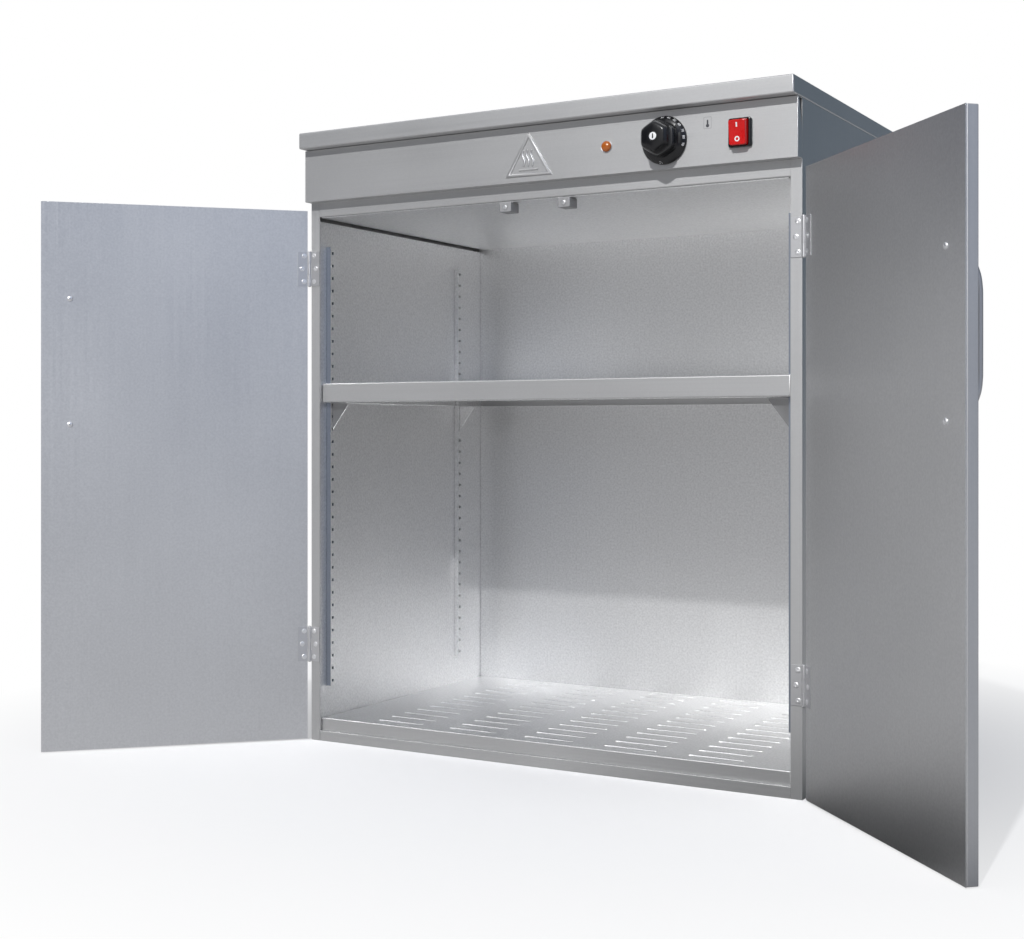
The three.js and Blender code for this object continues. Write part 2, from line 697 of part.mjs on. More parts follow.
function addHeater() {
  const [near, far] = elementBends;
  const [first, second, third, last] = elementRuns;
  const corners = [[elementEnd, first], [far, first], [far, second], [near, second], [near, third],
    [far, third], [far, last], [elementEnd, last]].map(([x, y]) => [x, y, elementZ]);
  const bend = (second - first) / 2 - 2 * sheet;
  add('heating_element', elementSteel, tube(corners, elementRadius, bend));

  const low = sheet + gap;
  const plateEnd = last + bracketMargin;
  for (const [place, x] of [['left', -bracketX], ['right', bracketX]]) {
    const plate = box([x, x + bracketThickness], [-plateEnd, plateEnd], [low, elementZ + bracketRise]);
    const foot = box([x, x + bracketFoot], [-plateEnd, plateEnd], [low, low + bracketThickness]);
    const span = [x - past, x + bracketThickness + past];
    const holes = elementRuns.map((y) => roundX(y, elementZ, elementRadius + gap, span, 10));
    add(`${place}_element_bracket`, zincPlate, cut(join(plate, foot), ...holes));
  }

  const { pitch, radius, floor } = terminalWell;
  const block = box(terminalX, [-terminalHalf, terminalHalf], [low, terminalTop]);
  const wellX = (terminalX[0] + terminalX[1]) / 2;
  const wells = [-pitch, 0, pitch].map((y) => roundZ(wellX, y, radius, [floor, terminalTop + past]));
  add('terminal_block', whiteCeramic, cut(block, ...wells));
}

function addWiring() {
  const cavityX = (openingX + sideX) / 2;
  const low = terminalTop / 2 + past;
  const high = controlHeight + past + terminalTop / 2;
  const loom = [[terminalX[1] + gap, 0, low], [cavityX, 0, low], [cavityX, 0, high], [loomX, 0, high],
    [loomX, loomY, high]];
  add('wiring_loom', cordRubber, tube(loom, loomRadius, cordBend, 6));

  const collar = roundY(cordX, cordZ, gland.collarRadius, [backY + gap, backY + gland.collarDepth], 6);
  const stem = roundY(cordX, cordZ, glandStemRadius, [backY - gland.inside, backY + gland.outside], 16);
  const bore = roundY(cordX, cordZ, cordRadius + gap, [backY - cordStandoff, backY + cordStandoff]);
  add('cable_gland', blackPlastic, cut(join(collar, stem), bore));
}

// The cord drops to the floor, runs along it and rises into a round two-pin plug that lies there.
function addCord() {
  const runY = backY + cordStandoff;
  const runZ = cordRadius + gap;
  const plugZ = plugRadius + gap;
  const cordEnd = plugX - plugSocket;
  const cordStart = backY - gland.inside - cordBend / 2;
  const corners = [[cordX, cordStart, cordZ], [cordX, runY, cordZ], [cordX, runY, runZ],
    [plugX + cordRise[0], runY, runZ], [plugX + cordRise[1], runY, plugZ], [cordEnd, runY, plugZ]];
  add('power_cable', cordRubber, tube(corners, cordRadius, cordBend));

  const points = plugProfile.map(([radius, along]) => new THREE.Vector2(radius, along));
  const pinLength = plugPin.end - plugPin.start;
  const pins = [-plugPin.offset, plugPin.offset].map((z) => (
    new THREE.CylinderGeometry(plugPin.radius, plugPin.radius, pinLength, 8)
      .translate(0, plugPin.start + pinLength / 2, z)));
  const plug = join(new THREE.LatheGeometry(points, 16), ...pins).rotateZ(Math.PI / 2);
  plug.translate(plugX, runY, plugZ);
  const socket = roundX(runY, plugZ, cordRadius + gap, [cordEnd - past, plugX + past], 16);
  add('mains_plug', blackPlastic, cut(plug, socket));
}

// ---------------------------------------------------------------- assembly

addWorktop();
addSidePanels();
addInnerPanels();
addBackPanel();
addBasePan();
addTopRail();
addControlPanel();
addCeiling();
addFloorTray();
addShelf();
addRailsAndClips();
addCatches();

const rightDoor = doorGroup(1, rightDoorOpen);
const leftDoor = doorGroup(-1, leftDoorOpen);
addDoors(rightDoor, leftDoor);
addHandles(rightDoor, leftDoor);
addHinges(rightDoor, leftDoor);

addThermostat();
addSwitch();
addPilotLamp();
addHeater();
addWiring();
addCord();

export default cabinet;
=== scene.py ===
import json
import math

import bmesh
import bpy
from mathutils import Matrix, Vector


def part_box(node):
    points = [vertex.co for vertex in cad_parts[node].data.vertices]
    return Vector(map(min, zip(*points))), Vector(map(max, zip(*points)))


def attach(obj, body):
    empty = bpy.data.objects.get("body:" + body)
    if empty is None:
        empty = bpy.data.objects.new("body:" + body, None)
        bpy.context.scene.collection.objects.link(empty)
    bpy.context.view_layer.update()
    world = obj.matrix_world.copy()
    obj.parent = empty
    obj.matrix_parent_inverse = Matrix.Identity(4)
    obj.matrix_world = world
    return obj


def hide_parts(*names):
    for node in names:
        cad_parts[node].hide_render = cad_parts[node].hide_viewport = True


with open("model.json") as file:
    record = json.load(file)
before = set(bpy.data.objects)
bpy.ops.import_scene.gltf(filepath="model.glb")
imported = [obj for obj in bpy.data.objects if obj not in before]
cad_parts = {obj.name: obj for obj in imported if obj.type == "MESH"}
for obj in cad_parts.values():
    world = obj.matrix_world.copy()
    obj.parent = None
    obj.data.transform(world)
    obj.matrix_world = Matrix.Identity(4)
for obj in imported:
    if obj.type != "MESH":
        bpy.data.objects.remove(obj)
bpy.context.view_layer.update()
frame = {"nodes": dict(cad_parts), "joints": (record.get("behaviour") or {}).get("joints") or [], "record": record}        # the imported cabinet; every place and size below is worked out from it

SCENE = bpy.context.scene
RECORD = frame["record"]
JOINTS = {joint["name"]: joint for joint in frame["joints"]}
BODY_OF = {node: body for body, nodes in RECORD["behaviour"]["bodies"].items() for node in nodes}
SLOT_OF = {part["node"]: part["material_slot"] for part in RECORD["subparts"]}

MM = 0.001
SIDES = {"left": -1, "right": 1}
FOLD = 1.5 * MM           # outside radius of a fold in the sheet
RIM = 0.2 * MM            # softening of a cut edge
WIDE = 3 * MM             # a face narrower than this is the edge of a sheet
ROUND = 48                # points round a turned shape
GRAIN_DEPTH = 0.05 * MM   # how deep the grain of a surface looks

BODY_LOW, BODY_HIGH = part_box("back_panel")
PANEL_LOW, PANEL_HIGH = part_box("control_panel")
PANEL_Y = PANEL_LOW.y


# ---- materials

def new_material(name="finish"):
    material = bpy.data.materials.new(name)
    material.use_nodes = True
    return material


def principled(material):
    return material.node_tree.nodes["Principled BSDF"]


def link(tree_owner, output, target):
    tree_owner.node_tree.links.new(output, target)


def object_coordinates(material, stretch=(1, 1, 1)):
    """Places on the piece in metres, scaled along each axis."""
    nodes = material.node_tree.nodes
    scaled = nodes.new("ShaderNodeMapping")
    scaled.inputs["Scale"].default_value = stretch
    link(material, nodes.new("ShaderNodeTexCoord").outputs["Object"], scaled.inputs["Vector"])
    return scaled.outputs["Vector"]


def noise(material, coordinates, scale, detail=3.0):
    node = material.node_tree.nodes.new("ShaderNodeTexNoise")
    node.inputs["Scale"].default_value = scale
    node.inputs["Detail"].default_value = detail
    link(material, coordinates, node.inputs["Vector"])
    return node.outputs["Fac"]


def varied(material, middle, changes):
    """A number that moves round its middle: each (noise, amount) adds up to half its amount either way."""
    nodes = material.node_tree.nodes
    total = None
    for output, amount in changes:
        centred = nodes.new("ShaderNodeMath")
        centred.operation = "SUBTRACT"
        centred.inputs[1].default_value = 0.5
        link(material, output, centred.inputs[0])
        step = nodes.new("ShaderNodeMath")
        step.operation = "MULTIPLY_ADD"
        step.inputs[1].default_value = amount
        step.inputs[2].default_value = middle
        link(material, centred.outputs[0], step.inputs[0])
        if total is not None:
            link(material, total, step.inputs[2])
        total = step.outputs[0]
    return total


def tinted(material, color, factor, target):
    """Feeds the colour, brightened or darkened by the factor, to the target."""
    scaled = material.node_tree.nodes.new("ShaderNodeVectorMath")
    scaled.operation = "SCALE"
    scaled.inputs[0].default_value = color
    link(material, factor, scaled.inputs["Scale"])
    link(material, scaled.outputs["Vector"], target)


def bumped(material, height, strength, depth):
    bump = material.node_tree.nodes.new("ShaderNodeBump")
    bump.inputs["Strength"].default_value = strength
    bump.inputs["Distance"].default_value = depth
    link(material, height, bump.inputs["Height"])
    link(material, bump.outputs["Normal"], principled(material).inputs["Normal"])


def metal():
    material = new_material()
    principled(material).inputs["Metallic"].default_value = 1.0
    return material


def steel(color, roughness, grain, streaks=0.10, specks=0.08):
    """Sheet steel with streaks along one axis, fine specks and faint cloudy handling marks."""
    material = metal()
    shader = principled(material)
    long_scale, fine_scale = 3.0, 900.0
    stretch = [long_scale if axis == grain else fine_scale for axis in "xyz"]
    streak = noise(material, object_coordinates(material, stretch), 1.0, 2.0)
    speck = noise(material, object_coordinates(material), 330.0, 2.0)
    cloud = noise(material, object_coordinates(material), 3.5, 2.0)
    tone = varied(material, 1.0, [(streak, streaks), (speck, specks), (cloud, 0.08)])
    tinted(material, color, tone, shader.inputs["Base Color"])
    dullness = varied(material, roughness, [(streak, 0.10), (cloud, 0.10), (speck, 0.06)])
    link(material, dullness, shader.inputs["Roughness"])
    bumped(material, varied(material, 0.5, [(streak, 0.6), (speck, 0.5)]), 0.12, GRAIN_DEPTH)
    return material


def plated(color, roughness):
    """Bright zinc or chrome plate on a small part."""
    material = metal()
    shader = principled(material)
    mottle = noise(material, object_coordinates(material), 700.0)
    tinted(material, color, varied(material, 1.0, [(mottle, 0.03)]), shader.inputs["Base Color"])
    link(material, varied(material, roughness, [(mottle, 0.02)]), shader.inputs["Roughness"])
    return material


def moulded(color, roughness, grain_scale=1500.0, relief=0.05, coat=0.0):
    """Moulded plastic or rubber with a faint moulded grain."""
    material = new_material()
    shader = principled(material)
    shader.inputs["Coat Weight"].default_value = coat
    shader.inputs["Coat Roughness"].default_value = 0.08
    grain = noise(material, object_coordinates(material), grain_scale)
    cloud = noise(material, object_coordinates(material), 60.0)
    tone = varied(material, 1.0, [(grain, 0.10), (cloud, 0.10)])
    tinted(material, color, tone, shader.inputs["Base Color"])
    link(material, varied(material, roughness, [(grain, 0.08), (cloud, 0.06)]), shader.inputs["Roughness"])
    bumped(material, grain, relief, GRAIN_DEPTH)
    return material


def amber_lens():
    """The pilot lamp's lens: clear amber plastic with a warm glow under its surface."""
    material = moulded((0.42, 0.10, 0.002), 0.15, relief=0.02, coat=1.0)
    shader = principled(material)
    shader.inputs["Emission Color"].default_value = (1.0, 0.25, 0.02, 1)
    shader.inputs["Emission Strength"].default_value = 0.015
    return material


MATERIALS = {
    "brushed_steel": steel((0.62, 0.62, 0.62), 0.48, "x"),
    "upright_steel": steel((0.62, 0.62, 0.62), 0.48, "z"),
    "door_lining_steel": steel((0.80, 0.80, 0.80), 0.41, "z", streaks=0.05, specks=0.20),
    "side_steel": steel((0.62, 0.62, 0.62), 0.48, "z"),
    "lining_steel": steel((0.87, 0.87, 0.87), 0.40, "z", streaks=0.05, specks=0.45),
    "flat_lining_steel": steel((0.90, 0.90, 0.90), 0.40, "x", streaks=0.05, specks=0.40),
    # painted shade: darker bluish steel for the front faces of the front shelf rails, standing in for the
    # shade that falls on them
    "painted_shade_rail_steel": steel((0.33, 0.36, 0.42), 0.42, "z", streaks=0.06),
    # painted shade: darker grey steel for the front faces of the front shelf clips
    "painted_shade_clip_steel": steel((0.36, 0.36, 0.365), 0.45, "z", streaks=0.06),
    "zinc_plate": plated((0.70, 0.70, 0.71), 0.42),
    "screw_zinc": plated((0.97, 0.97, 0.98), 0.36),
    "black_plastic": moulded((0.004, 0.004, 0.005), 0.25, coat=0.3),
    "catch_plastic": moulded((0.32, 0.32, 0.325), 0.40),
    "grey_plastic": moulded((0.42, 0.43, 0.44), 0.45),
    "red_plastic": moulded((0.62, 0.0, 0.0), 0.28, coat=0.25),
    "amber_lens": amber_lens(),
    "copper": plated((0.72, 0.42, 0.26), 0.30),
    "element_sheath": steel((0.20, 0.18, 0.16), 0.50, "x", specks=0.3),
    "ceramic": moulded((0.82, 0.79, 0.72), 0.35, relief=0.03),
    "cord_rubber": moulded((0.012, 0.012, 0.012), 0.60, grain_scale=900.0, relief=0.15),
    "white_print": moulded((0.85, 0.85, 0.85), 0.40, relief=0.0),
    "grey_print": moulded((0.07, 0.07, 0.08), 0.50, relief=0.0),
    "pale_print": moulded((0.30, 0.30, 0.31), 0.50, relief=0.0),
}
for material_name, made in MATERIALS.items():
    made.name = material_name
UPRIGHT = ("left_door_outer_skin", "right_door_outer_skin", "left_door_handle", "right_door_handle")
FLAT_LINING = ("floor_tray", "shelf", "ceiling_panel", "worktop_stiffener")


def material_of(node):
    if node in UPRIGHT:
        return MATERIALS["upright_steel"]
    if node in FLAT_LINING:
        return MATERIALS["flat_lining_steel"]
    if node.endswith("door_inner_skin"):
        return MATERIALS["door_lining_steel"]
    if node == "base_pan":
        return MATERIALS["brushed_steel"]
    if node.endswith("shelf_clip"):
        return MATERIALS["lining_steel"]
    if node.endswith("door_catch"):
        return MATERIALS["catch_plastic"]
    return MATERIALS[SLOT_OF[node]]


# ---- making pieces

def add_piece(name, bm, body, material, replaced=()):
    """Turns the mesh into a piece that rides on a body and stands for the CAD nodes named."""
    bmesh.ops.recalc_face_normals(bm, faces=bm.faces)
    mesh = bpy.data.meshes.new(name)
    bm.to_mesh(mesh)
    bm.free()
    mesh.materials.append(material)
    mesh.shade_smooth()
    mesh.set_sharp_from_angle(angle=math.radians(40))
    piece = bpy.data.objects.new(name, mesh)
    SCENE.collection.objects.link(piece)
    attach(piece, body)
    if replaced:
        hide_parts(*replaced)
    return piece


def add_stand_in(name, bm, node):
    """A finer piece in the place of one CAD node."""
    return add_piece(name, bm, BODY_OF[node], material_of(node), [node])


def loft(bm, rings, closed=False):
    """Joins rings of points into a skin, with a cap at each end unless the last ring joins the first."""
    rows = [[bm.verts.new(point) for point in points] for points in rings]
    pairs = list(zip(rows, rows[1:]))
    if closed:
        pairs.append((rows[-1], rows[0]))
    for near, far in pairs:
        for i in range(len(near)):
            j = (i + 1) % len(near)
            bm.faces.new((near[i], near[j], far[j], far[i]))
    if not closed:
        bm.faces.new(rows[0])
        bm.faces.new(rows[-1])


def facing(origin, out):
    """A frame at the origin whose third axis points out of an upright face."""
    out = Vector(out).normalized()
    right = Vector((0, 0, 1)).cross(out).normalized()
    axes = Matrix((right, out.cross(right), out)).transposed().to_4x4()
    return Matrix.Translation(origin) @ axes


def centre_of(low, high, y):
    """The centre of a box as seen from the front, at a depth."""
    return Vector(((low.x + high.x) / 2, y, (low.z + high.z) / 2))


def ring(place, outline, height):
    """The outline laid in a frame, at a height above its face."""
    return [place @ Vector((x, y, height)) for x, y in outline]


def circle(radius, steps=ROUND):
    angles = [2 * math.pi * i / steps for i in range(steps)]
    return [(radius * math.cos(angle), radius * math.sin(angle)) for angle in angles]


def rounded_rectangle(half_width, half_height, radius, steps=6):
    points = []
    for corner, (side, end) in enumerate(((1, 1), (-1, 1), (-1, -1), (1, -1))):
        for step in range(steps + 1):
            angle = math.radians(90) * (corner + step / steps)
            x = side * (half_width - radius) + radius * math.cos(angle)
            y = end * (half_height - radius) + radius * math.sin(angle)
            points.append((x, y))
    return points


def turned(bm, place, profile, steps=ROUND):
    """A turned solid from (radius, height) pairs."""
    loft(bm, [ring(place, circle(radius, steps), height) for radius, height in profile])


def bent(corners, radius, steps=8):
    """The corners of a path, each one rounded off."""
    corners = [Vector(corner) for corner in corners]
    points = [corners[0]]
    for before, corner, after in zip(corners, corners[1:], corners[2:]):
        start = corner + (before - corner).normalized() * radius
        end = corner + (after - corner).normalized() * radius
        for step in range(steps + 1):
            t = step / steps
            points.append((1 - t) ** 2 * start + 2 * t * (1 - t) * corner + t * t * end)
    points.append(corners[-1])
    return points


def sweep(bm, path, radius, steps=20):
    """A round bar along a path, turned as little as the bends allow."""
    across = None
    rings = []
    for i, point in enumerate(path):
        ahead = (path[min(i + 1, len(path) - 1)] - path[max(i - 1, 0)]).normalized()
        if across is None:
            across = ahead.orthogonal()
        across = (across - ahead * across.dot(ahead)).normalized()
        other = ahead.cross(across)
        rings.append([point + across * x + other * y for x, y in circle(radius, steps)])
    loft(bm, rings)


def face_width(face):
    """How wide a long face is: its area over its longest edge."""
    return face.calc_area() / max(edge.calc_length() for edge in face.edges)


def cad_mesh(node):
    """The CAD node's solid, with its flat faces whole again."""
    bm = bmesh.new()
    bm.from_mesh(frame["nodes"][node].data)
    bmesh.ops.remove_doubles(bm, verts=bm.verts, dist=0.001 * MM)
    bmesh.ops.dissolve_limit(bm, angle_limit=math.radians(1), verts=bm.verts, edges=bm.edges)
    return bm


def weigh_edges(bm, fold):
    """Marks the folds of a sheet for a large radius and its cut edges for a small one."""
    weights = bm.edges.layers.float.new("bevel_weight_edge")
    for edge in bm.edges:
        if len(edge.link_faces) != 2 or edge.calc_face_angle(0) < math.radians(25):
            continue
        if not edge.is_convex:
            continue
        is_fold = all(face_width(face) > WIDE for face in edge.link_faces)
        edge[weights] = 1.0 if is_fold else RIM / fold


def soften(piece, width):
    bevel = piece.modifiers.new("fold", "BEVEL")
    bevel.width = width
    bevel.segments = 3
    bevel.limit_method = "WEIGHT"
    bevel.use_clamp_overlap = True
    normals = piece.modifiers.new("normals", "WEIGHTED_NORMAL")
    normals.keep_sharp = True


def add_folded(node, fold=FOLD):
    """The CAD node as real folded sheet: rounded folds and softened cut edges."""
    bm = cad_mesh(node)
    weigh_edges(bm, fold)
    piece = add_stand_in(f"{node}_sheet", bm, node)
    soften(piece, fold)
    return piece


# ---- screws

def screw_mesh(name, radius, height):
    """A domed screw head with a cross recess, sitting on its frame's origin and facing up."""
    head = bmesh.new()
    steps = 6
    profile = [(radius, -0.3 * MM), (radius, 0.25 * height)]
    for step in range(1, steps + 1):
        angle = math.radians(80) * step / steps
        profile.append((radius * math.cos(angle), height * (0.25 + 0.75 * math.sin(angle))))
    turned(head, Matrix(), profile, 32)
    recess = bmesh.new()
    arm, wing = 0.52 * radius, 0.13 * radius
    for x, y in ((arm, wing), (wing, arm)):
        rings = []
        for share, z in ((0.45, 0.2 * height), (1.0, 1.3 * height)):
            rings.append(ring(Matrix(), rounded_rectangle(x * share, y * share, wing * share * 0.5, 2), z))
        loft(recess, rings)
    pieces = []
    for label, bm in (("head", head), ("recess", recess)):
        bmesh.ops.recalc_face_normals(bm, faces=bm.faces)
        mesh = bpy.data.meshes.new(f"{name}_{label}")
        bm.to_mesh(mesh)
        bm.free()
        piece = bpy.data.objects.new(mesh.name, mesh)
        SCENE.collection.objects.link(piece)
        pieces.append(piece)
    cut = pieces[0].modifiers.new("recess", "BOOLEAN")
    cut.operation = "DIFFERENCE"
    cut.object = pieces[1]
    cut.use_self = True
    bpy.context.view_layer.update()
    depsgraph = bpy.context.evaluated_depsgraph_get()
    mesh = bpy.data.meshes.new_from_object(pieces[0].evaluated_get(depsgraph), depsgraph=depsgraph)
    for piece in pieces:
        bpy.data.objects.remove(piece)
    mesh.materials.clear()
    mesh.materials.append(MATERIALS["screw_zinc"])
    mesh.shade_smooth()
    mesh.set_sharp_from_angle(angle=math.radians(35))
    return mesh


def add_screw(name, mesh, place, body, turn):
    """One screw at a frame, its recess turned by an angle."""
    piece = bpy.data.objects.new(name, mesh)
    SCENE.collection.objects.link(piece)
    piece.matrix_world = place @ Matrix.Rotation(turn, 4, "Z")
    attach(piece, body)


# ---- doors and hinges

def door_turn(side):
    """Carries a place on the closed door to the same place on the door as it stands open at rest."""
    joint = JOINTS[f"{side}_door_hinge"]
    pivot = Matrix.Translation(joint["pos_m"])
    angle = -math.radians(joint["range_deg"][0])
    return pivot @ Matrix.Rotation(angle, 4, Vector(joint["axis"])) @ pivot.inverted()


def box_before(node, turn):
    """Lowest and highest corner of a CAD node before the turn was made."""
    back = turn.inverted()
    points = [back @ vertex.co for vertex in frame["nodes"][node].data.vertices]
    low = Vector(min(point[axis] for point in points) for axis in range(3))
    high = Vector(max(point[axis] for point in points) for axis in range(3))
    return low, high


def closed_box(node, side):
    """Lowest and highest corner of a door's node with the door shut."""
    return box_before(node, door_turn(side))


def smooth_path(points, steps):
    """A smooth curve through the points, steps to each stretch."""
    path = []
    for i in range(len(points) - 1):
        p0, p1 = points[max(i - 1, 0)], points[i]
        p2, p3 = points[i + 1], points[min(i + 2, len(points) - 1)]
        for step in range(steps):
            t = step / steps
            path.append(0.5 * (2 * p1 + (p2 - p0) * t + (2 * p0 - 5 * p1 + 4 * p2 - p3) * t * t
                               + (3 * p1 - p0 - 3 * p2 + p3) * t ** 3))
    path.append(points[-1])
    return path


def add_handle(side):
    """The bow handle: an oval bar that leaves the door at a slant and widens into its feet."""
    node = f"{side}_door_handle"
    low, high = closed_box(node, side)
    turn = door_turn(side)
    seat = centre_of(low, high, high.y)
    half_length, proud, half_width = (high.z - low.z) / 2, high.y - low.y, (high.x - low.x) / 2
    thickness = 8 * MM
    foot_rise = 9 * MM          # the bar widens below this height
    crest = proud - thickness / 2
    # Each step of the slope: how far it is from the handle's end, and how far out from the door.
    slope = [(6 * MM, 0.0), (8 * MM, 4 * MM), (17 * MM, 0.45 * proud), (27 * MM, 0.76 * crest),
             (37 * MM, 0.92 * crest), (48 * MM, 0.985 * crest), (60 * MM, crest)]
    half = [Vector((half_length - inset, out)) for inset, out in slope]
    whole = half + [Vector((-point.x, point.y)) for point in reversed(half)]
    path = smooth_path(whole, 5)
    rings = []
    for i, point in enumerate(path):
        ahead = (path[min(i + 1, len(path) - 1)] - path[max(i - 1, 0)]).normalized()
        if i in (0, len(path) - 1):
            ahead = Vector((0, 1 if i == 0 else -1))
        across = Vector((-ahead.y, ahead.x))
        flare = 1 + 0.6 * max(0.0, 1 - point.y / foot_rise) ** 2
        section = []
        for cosine, sine in circle(1, 24):
            x = math.copysign(abs(cosine) ** 0.6, cosine) * half_width
            y = math.copysign(abs(sine) ** 0.8, sine) * thickness / 2 * flare
            spot = point + across * y
            section.append(turn @ (seat + Vector((x, -max(spot.y, 0.0), spot.x))))
        rings.append(section)
    bm = bmesh.new()
    loft(bm, rings)
    add_stand_in(f"{side}_bow_handle", bm, node)


def add_handle_screws(side, mesh):
    radius = 2.0 * MM
    head_turn = 0.4 if side == "left" else 1.1
    inner_face = closed_box(f"{side}_door_inner_skin", side)[1].y
    for place in ("lower", "upper"):
        node = f"{side}_handle_{place}_screw"
        low, high = closed_box(node, side)
        frame_on_door = door_turn(side) @ facing(centre_of(low, high, inner_face), (0, 1, 0))
        add_screw(f"{node}_head", mesh, frame_on_door, f"{side}_door", head_turn)
        bm = bmesh.new()
        turned(bm, frame_on_door, [(radius, 0.0), (radius, low.y - inner_face)], 16)
        add_stand_in(f"{node}_shank", bm, node)


def add_hinge_screws(side, mesh):
    """Three screws to each leaf, the middle one set further from the pin."""
    sign = SIDES[side]
    pin = Vector(JOINTS[f"{side}_door_hinge"]["pos_m"])
    near, far, spread = 7.6 * MM, 10.4 * MM, 18.8 * MM
    plate = 0.55 * MM           # from the pin's axis to the face of each leaf
    for place in ("lower", "upper"):
        low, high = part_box(f"{side}_{place}_hinge_frame_leaf")
        leaf_z = (low.z + high.z) / 2
        for i, (rise, reach) in enumerate(((-spread, near), (0.0, far), (spread, near))):
            x = pin.x - sign * reach
            on_frame = facing(Vector((x, pin.y + plate, leaf_z + rise)), (0, -1, 0))
            add_screw(f"{side}_{place}_frame_leaf_screw_{i}", mesh, on_frame, "cabinet", 0.5 + i)
            on_door = door_turn(side) @ facing(Vector((x, pin.y - plate, leaf_z + rise)), (0, 1, 0))
            add_screw(f"{side}_{place}_door_leaf_screw_{i}", mesh, on_door, f"{side}_door", 0.9 + i)


def add_hinge_pin(node):
    """A pin with a domed head at each end."""
    low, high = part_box(node)
    radius = (high.x - low.x) / 2
    centre = Vector(((low.x + high.x) / 2, (low.y + high.y) / 2, low.z))
    height = high.z - low.z
    stem = 0.55 * radius
    head = 1.0 * MM
    lower_half = [(0.5 * radius, 0.0), (0.85 * radius, 0.2 * MM), (radius, 0.6 * MM), (radius, head),
                  (stem, head)]
    profile = lower_half + [(r, height - rise) for r, rise in reversed(lower_half)]
    bm = bmesh.new()
    turned(bm, Matrix.Translation(centre), profile, 24)
    add_stand_in(f"{node}_turned", bm, node)


def add_doors():
    pan_head = screw_mesh("pan_head", 3.8 * MM, 2.2 * MM)
    leaf_head = screw_mesh("leaf_head", 3.5 * MM, 0.5 * MM)
    for side in SIDES:
        add_folded(f"{side}_door_outer_skin", 1.0 * MM)
        add_folded(f"{side}_door_inner_skin", 0.5 * MM)
        add_handle(side)
        add_handle_screws(side, pan_head)
        add_hinge_screws(side, leaf_head)
        for place in ("lower", "upper"):
            add_folded(f"{side}_{place}_hinge_frame_leaf", 0.4 * MM)
            add_folded(f"{side}_{place}_hinge_door_leaf", 0.4 * MM)
            add_hinge_pin(f"{side}_{place}_hinge_pin")
    return pan_head


# ---- casing and heated space

def recolour(piece, material, chosen):
    """Gives the chosen faces of a piece another material."""
    piece.data.materials.append(MATERIALS[material])
    for face in piece.data.polygons:
        if chosen(face):
            face.material_index = 1


def faces_front(face):
    return face.normal.y < -0.9


def add_casing():
    for node in ("worktop", "control_panel"):
        add_folded(node, 1.8 * MM)
    for node in ("top_rail", "back_panel", "ceiling_panel"):
        add_folded(node)
    recolour(add_folded("shelf", 2.0 * MM), "brushed_steel", faces_front)
    add_folded("base_pan", 0.5 * MM)
    for side in SIDES:
        add_folded(f"{side}_side_panel")
        add_folded(f"{side}_inner_panel", 0.4 * MM)
        for place in ("front", "rear"):
            rail = add_folded(f"{side}_{place}_shelf_rail", 0.8 * MM)
            # the front rail's front faces get painted shade in darker bluish steel
            if place == "front":
                recolour(rail, "painted_shade_rail_steel", faces_front)
            clip = add_folded(f"{side}_{place}_shelf_clip", 0.5 * MM)
            # the front clip's front faces get painted shade in darker grey steel
            if place == "front":
                recolour(clip, "painted_shade_clip_steel", faces_front)


SLOT_CORNERS = 6
SAME = 0.01 * MM          # two heights this close are the same


def slot_places():
    """Both ends in x and the middle in y of each slot in the floor tray, found from the holes in its top."""
    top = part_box("floor_tray")[1].z
    bm = cad_mesh("floor_tray")
    slots = []
    seen = set()
    for vertex in bm.verts:
        if vertex in seen or abs(vertex.co.z - top) > SAME:
            continue
        loop = slot_loop(vertex, top)
        seen.update(loop)
        if len(loop) == SLOT_CORNERS:
            xs = [corner.co.x for corner in loop]
            ys = [corner.co.y for corner in loop]
            slots.append((min(xs), max(xs), (min(ys) + max(ys)) / 2))
    bm.free()
    return sorted(slots)


def slot_loop(start, top):
    """The corners of the hole or rim that a corner of the tray's top belongs to."""
    loop, waiting = set(), [start]
    while waiting:
        vertex = waiting.pop()
        if vertex in loop:
            continue
        loop.add(vertex)
        for edge in vertex.link_edges:
            other = edge.other_vert(vertex)
            wall = any(abs(face.normal.z) < 0.5 for face in edge.link_faces)
            if wall and abs(other.co.z - top) < SAME:
                waiting.append(other)
    return loop


def add_louvre(bm, left, right, slot_y, top):
    """A pressed hood over one slot, closed in front and open at the back, that sinks away to the right."""
    tallest, reach, flare, wall = 1.6 * MM, 3.2 * MM, 1.0 * MM, 0.5 * MM
    back, sunk, flare_length = 1.4 * MM, 0.1 * MM, 2.5 * MM
    rise_share, fall_share = 0.02, 0.25     # of the length, where the hood rises and where it sinks away
    columns, rows = 20, 5
    left, length = left - 1.0 * MM, right - left + 1.5 * MM
    skins = []
    for inset in (0.0, wall):
        skin = []
        for row in range(rows + 1):
            angle = math.radians(90) * row / rows
            line = []
            for column in range(columns + 1):
                share = (1 - math.cos(math.pi * column / columns)) / 2
                swell = min(1, share / rise_share) ** 0.5 * min(1, (1 - share) / fall_share) ** 0.7
                height = max(0.0, (1 - 0.35 * share) * tallest * swell - inset)
                front = reach - inset + flare * math.exp(-share * length / flare_length)
                y = slot_y + back - front * math.cos(angle) ** 0.5 * min(1, 0.4 + swell)
                z = top - sunk + height * math.sin(angle) ** 0.6
                line.append(bm.verts.new((left + share * length, y, z)))
            skin.append(line)
        skins.append(skin)
    for row in range(rows):
        for column in range(columns):
            for skin in skins:
                near, far = skin[row], skin[row + 1]
                bm.faces.new((near[column], near[column + 1], far[column + 1], far[column]))
    rims = [skin[0] + [line[-1] for line in skin[1:]] + skin[-1][-2::-1] + [line[0] for line in skin[-2:0:-1]]
            for skin in skins]
    for i in range(len(rims[0])):
        j = (i + 1) % len(rims[0])
        bm.faces.new((rims[0][i], rims[0][j], rims[1][j], rims[1][i]))


